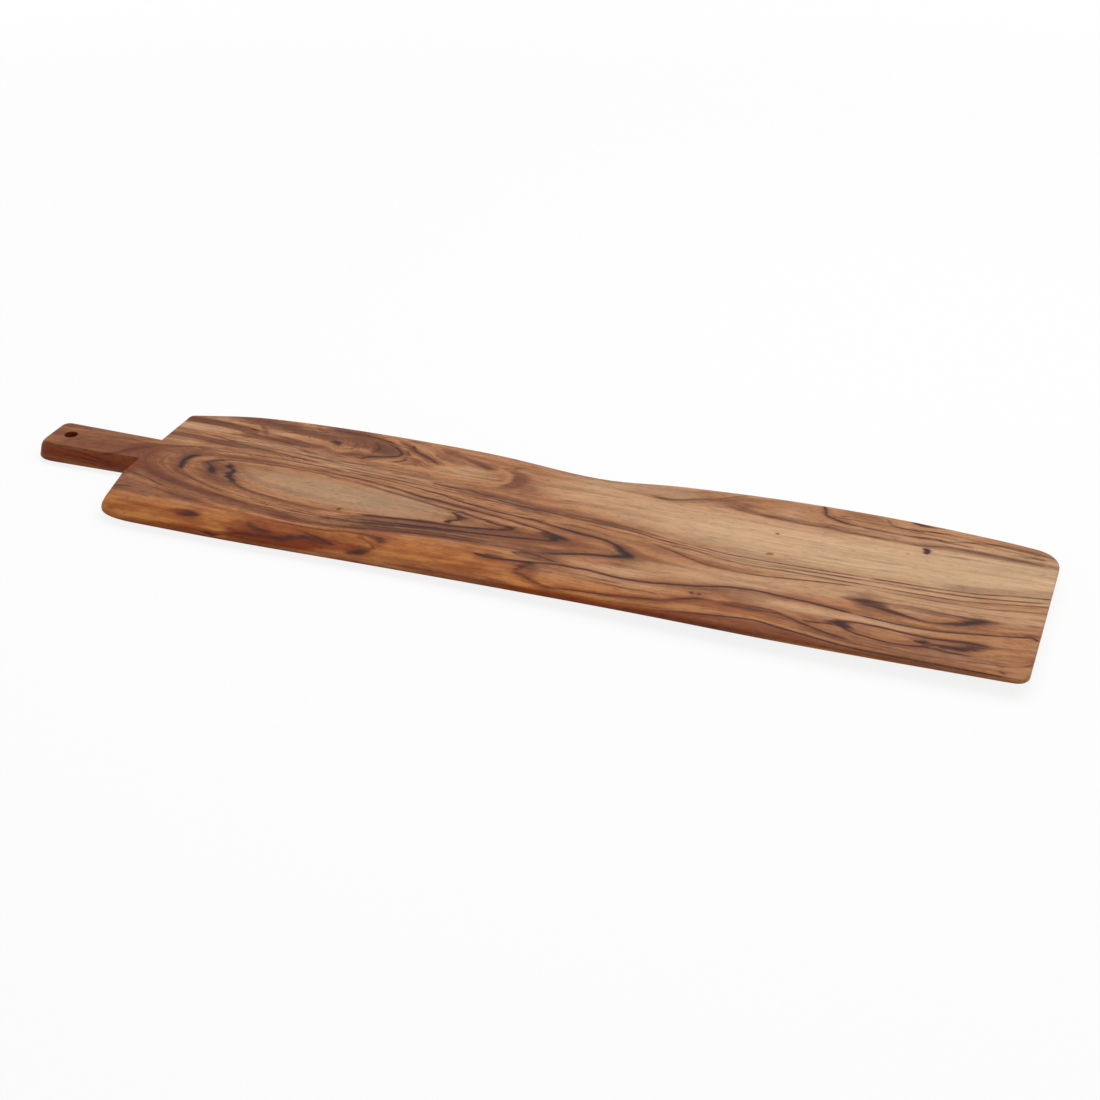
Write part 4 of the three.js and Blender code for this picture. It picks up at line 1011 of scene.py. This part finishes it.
def oiled_wood():
    material = bpy.data.materials.new("oiled_wood")
    n = Nodes(material)
    ink, brown, pale = n.parts("figure")
    warm, stain_and_sheen, streak = n.parts("tint")
    fibre, pore = n.noise(*FIBRE), n.noise(*PORE)
    ragged = n.math("SUBTRACT", fibre, 0.5)
    banding = n.math("SUBTRACT", n.noise(*BAND), 0.5)

    # How brown the wood is
    heart = n.plus(1.0, SAP_NOISE - 1, pale)
    amount = n.plus(brown, BAND_BROWN, n.times(banding, heart))
    amount = n.plus(amount, FIBRE_BROWN, n.times(ragged, heart))
    amount = n.plus(amount, RING_BROWN, growth_rings(n))
    murk = n.times(warm, n.math("SUBTRACT", n.noise(*MURK), MURK_MIDDLE))
    amount = n.plus(amount, MURK_BROWN, murk)

    # Ground of heart, sap, tan and orange
    lighter = n.math("MAXIMUM", n.times(amount, TAN_PACE), 0.0)
    tone = n.mix(n.plus(pale, BAND_SAP, banding), HEART, SAP)
    tone = n.mix(n.times(lighter, heart), tone, TAN)
    cover = n.times(warm, n.plus(1.0, SAP_ORANGE - 1, pale))
    cover = n.plus(cover, TAN_ORANGE, lighter)
    tone = n.mix(n.plus(cover, BAND_ORANGE, banding), tone, ORANGE)

    # Brown over it, then the grey of stains and painted sheen
    dark = n.mix(n.ramp(warm, *RUST_EDGES), PURPLE, RUST)
    left = n.math("EXPONENT", n.times(n.math("MAXIMUM", amount, 0.0), BROWN_PACE))
    tone = n.mix(n.plus(BROWN_MOST, -BROWN_MOST, left), tone, dark)
    tone = n.mix(n.times(stain_and_sheen, n.ramp(fibre, *STAIN_AND_SHEEN_EDGES)), tone, GREY)

    # Ink lines
    edge = n.times(ink, n.plus(1.0, INK_RAGGED, ragged))
    line = n.mix(n.ramp(ink, *BLACK_EDGES), DARK, BLACK)
    line = n.mix(n.times(warm, EMBER_SHARE), line, EMBER)
    tone = n.mix(n.times(n.ramp(edge, *INK_EDGES), n.ramp(ink, *INK_START)), tone, line)

    # Light and dark of fibres, streaks and pores
    light = n.plus(n.plus(1.0, FIBRE_LIGHT, ragged), STREAK_LIGHT, streak)
    dots = n.plus(n.ramp(pore, *PORE_EDGES, PORE_DARK, PORE_LIGHT), SAP_PORE, pale)
    light = n.times(light, n.math("MINIMUM", dots, PORE_LIGHT))
    tone = n.mix(1.0, tone, n.add("CombineXYZ", {0: light, 1: light, 2: light}), "MULTIPLY")
    n.surface(tone, n.ramp(fibre, *OILED_GLOSS), OILED_SPECULAR, n.math("ADD", fibre, pore), OILED_BUMP)
    return material


def raw_wood():
    material = bpy.data.materials.new("raw_wood")
    n = Nodes(material)
    fibre = n.noise(*RAW_FIBRE)
    tone = n.mix(n.noise(*RAW_BAND), RAW_BROWN, RAW_PALE)
    tone = n.mix(n.ramp(fibre, *RAW_EDGES), tone, RAW_DARK)
    n.surface(tone, n.ramp(fibre, *RAW_GLOSS), RAW_SPECULAR, fibre, RAW_BUMP)
    return material


def white_share(n):
    """1 for rays from the camera, and for those that it sends on through gloss or glass."""
    path = n.add("LightPath", {}).node.outputs
    seen = n.math("MAXIMUM", path["Is Camera Ray"], path["Is Glossy Ray"])
    return n.math("MAXIMUM", seen, path["Is Transmission Ray"])


def make_floor():
    mesh = bpy.data.meshes.new("floor")
    half = FLOOR_SIZE / 2
    corners = [(-half, -half), (half, -half), (half, half), (-half, half)]
    mesh.from_pydata([(x, y, -FLOOR_DROP) for x, y in corners], [], [(0, 1, 2, 3)])
    material = bpy.data.materials.new("floor")
    n = Nodes(material)
    matt = n.add("BsdfDiffuse", {"Color": FLOOR_TONE})
    white = n.add("Emission", {"Color": WHITE, "Strength": 1.0})
    place = n.add("TexCoord", {}, "Object")
    away = n.add("VectorMath", {0: place}, "Value", operation="LENGTH")
    share = n.times(white_share(n), n.ramp(away, *FLOOR_FADE, FLOOR_WHITE, 1.0))
    n.add("OutputMaterial", {"Surface": n.add("MixShader", {0: share, 1: matt, 2: white})})
    mesh.materials.append(material)
    floor = placed("floor", mesh)


def make_light():
    world = bpy.data.worlds.new("room")
    bpy.context.scene.world = world
    n = Nodes(world)
    room = n.add("Background", {"Color": WHITE, "Strength": ROOM_STRENGTH})
    white = n.add("Background", {"Color": WHITE, "Strength": 1.0})
    n.add("OutputWorld", {"Surface": n.add("MixShader", {0: white_share(n), 1: room, 2: white})})
    lamp = bpy.data.lights.new("overhead", "AREA")
    lamp.energy = LAMP_POWER
    lamp.size = LAMP_SIZE
    overhead = placed("overhead", lamp)
    overhead.location = LAMP_PLACE
    aim = -overhead.location
    overhead.rotation_euler = aim.to_track_quat("-Z", "Y").to_euler()


def make_camera():
    data = bpy.data.cameras.new("camera")
    data.sensor_width = SENSOR
    data.lens = CAMERA_LENS
    camera = placed("camera", data)
    camera.location = CAMERA_PLACE
    camera.rotation_euler = (math.radians(CAMERA_TILT), 0, math.radians(CAMERA_TURN))
    bpy.context.scene.camera = camera


fields = wood_fields()
wood = oiled_wood()
stave("board_far", "far_stave", -GLUE_LINE, fields, wood)
stave("board_centre", "centre_stave", 0.0, fields, wood)
stave("board_near", "near_stave", GLUE_LINE, fields, wood)
inner = raw_wood()
for node in ("far_tongue", "near_tongue"):
    frame["nodes"][node].data.materials.clear()
    frame["nodes"][node].data.materials.append(inner)
make_floor()
make_light()
make_camera()
bpy.context.scene.view_settings.view_transform = "Standard"
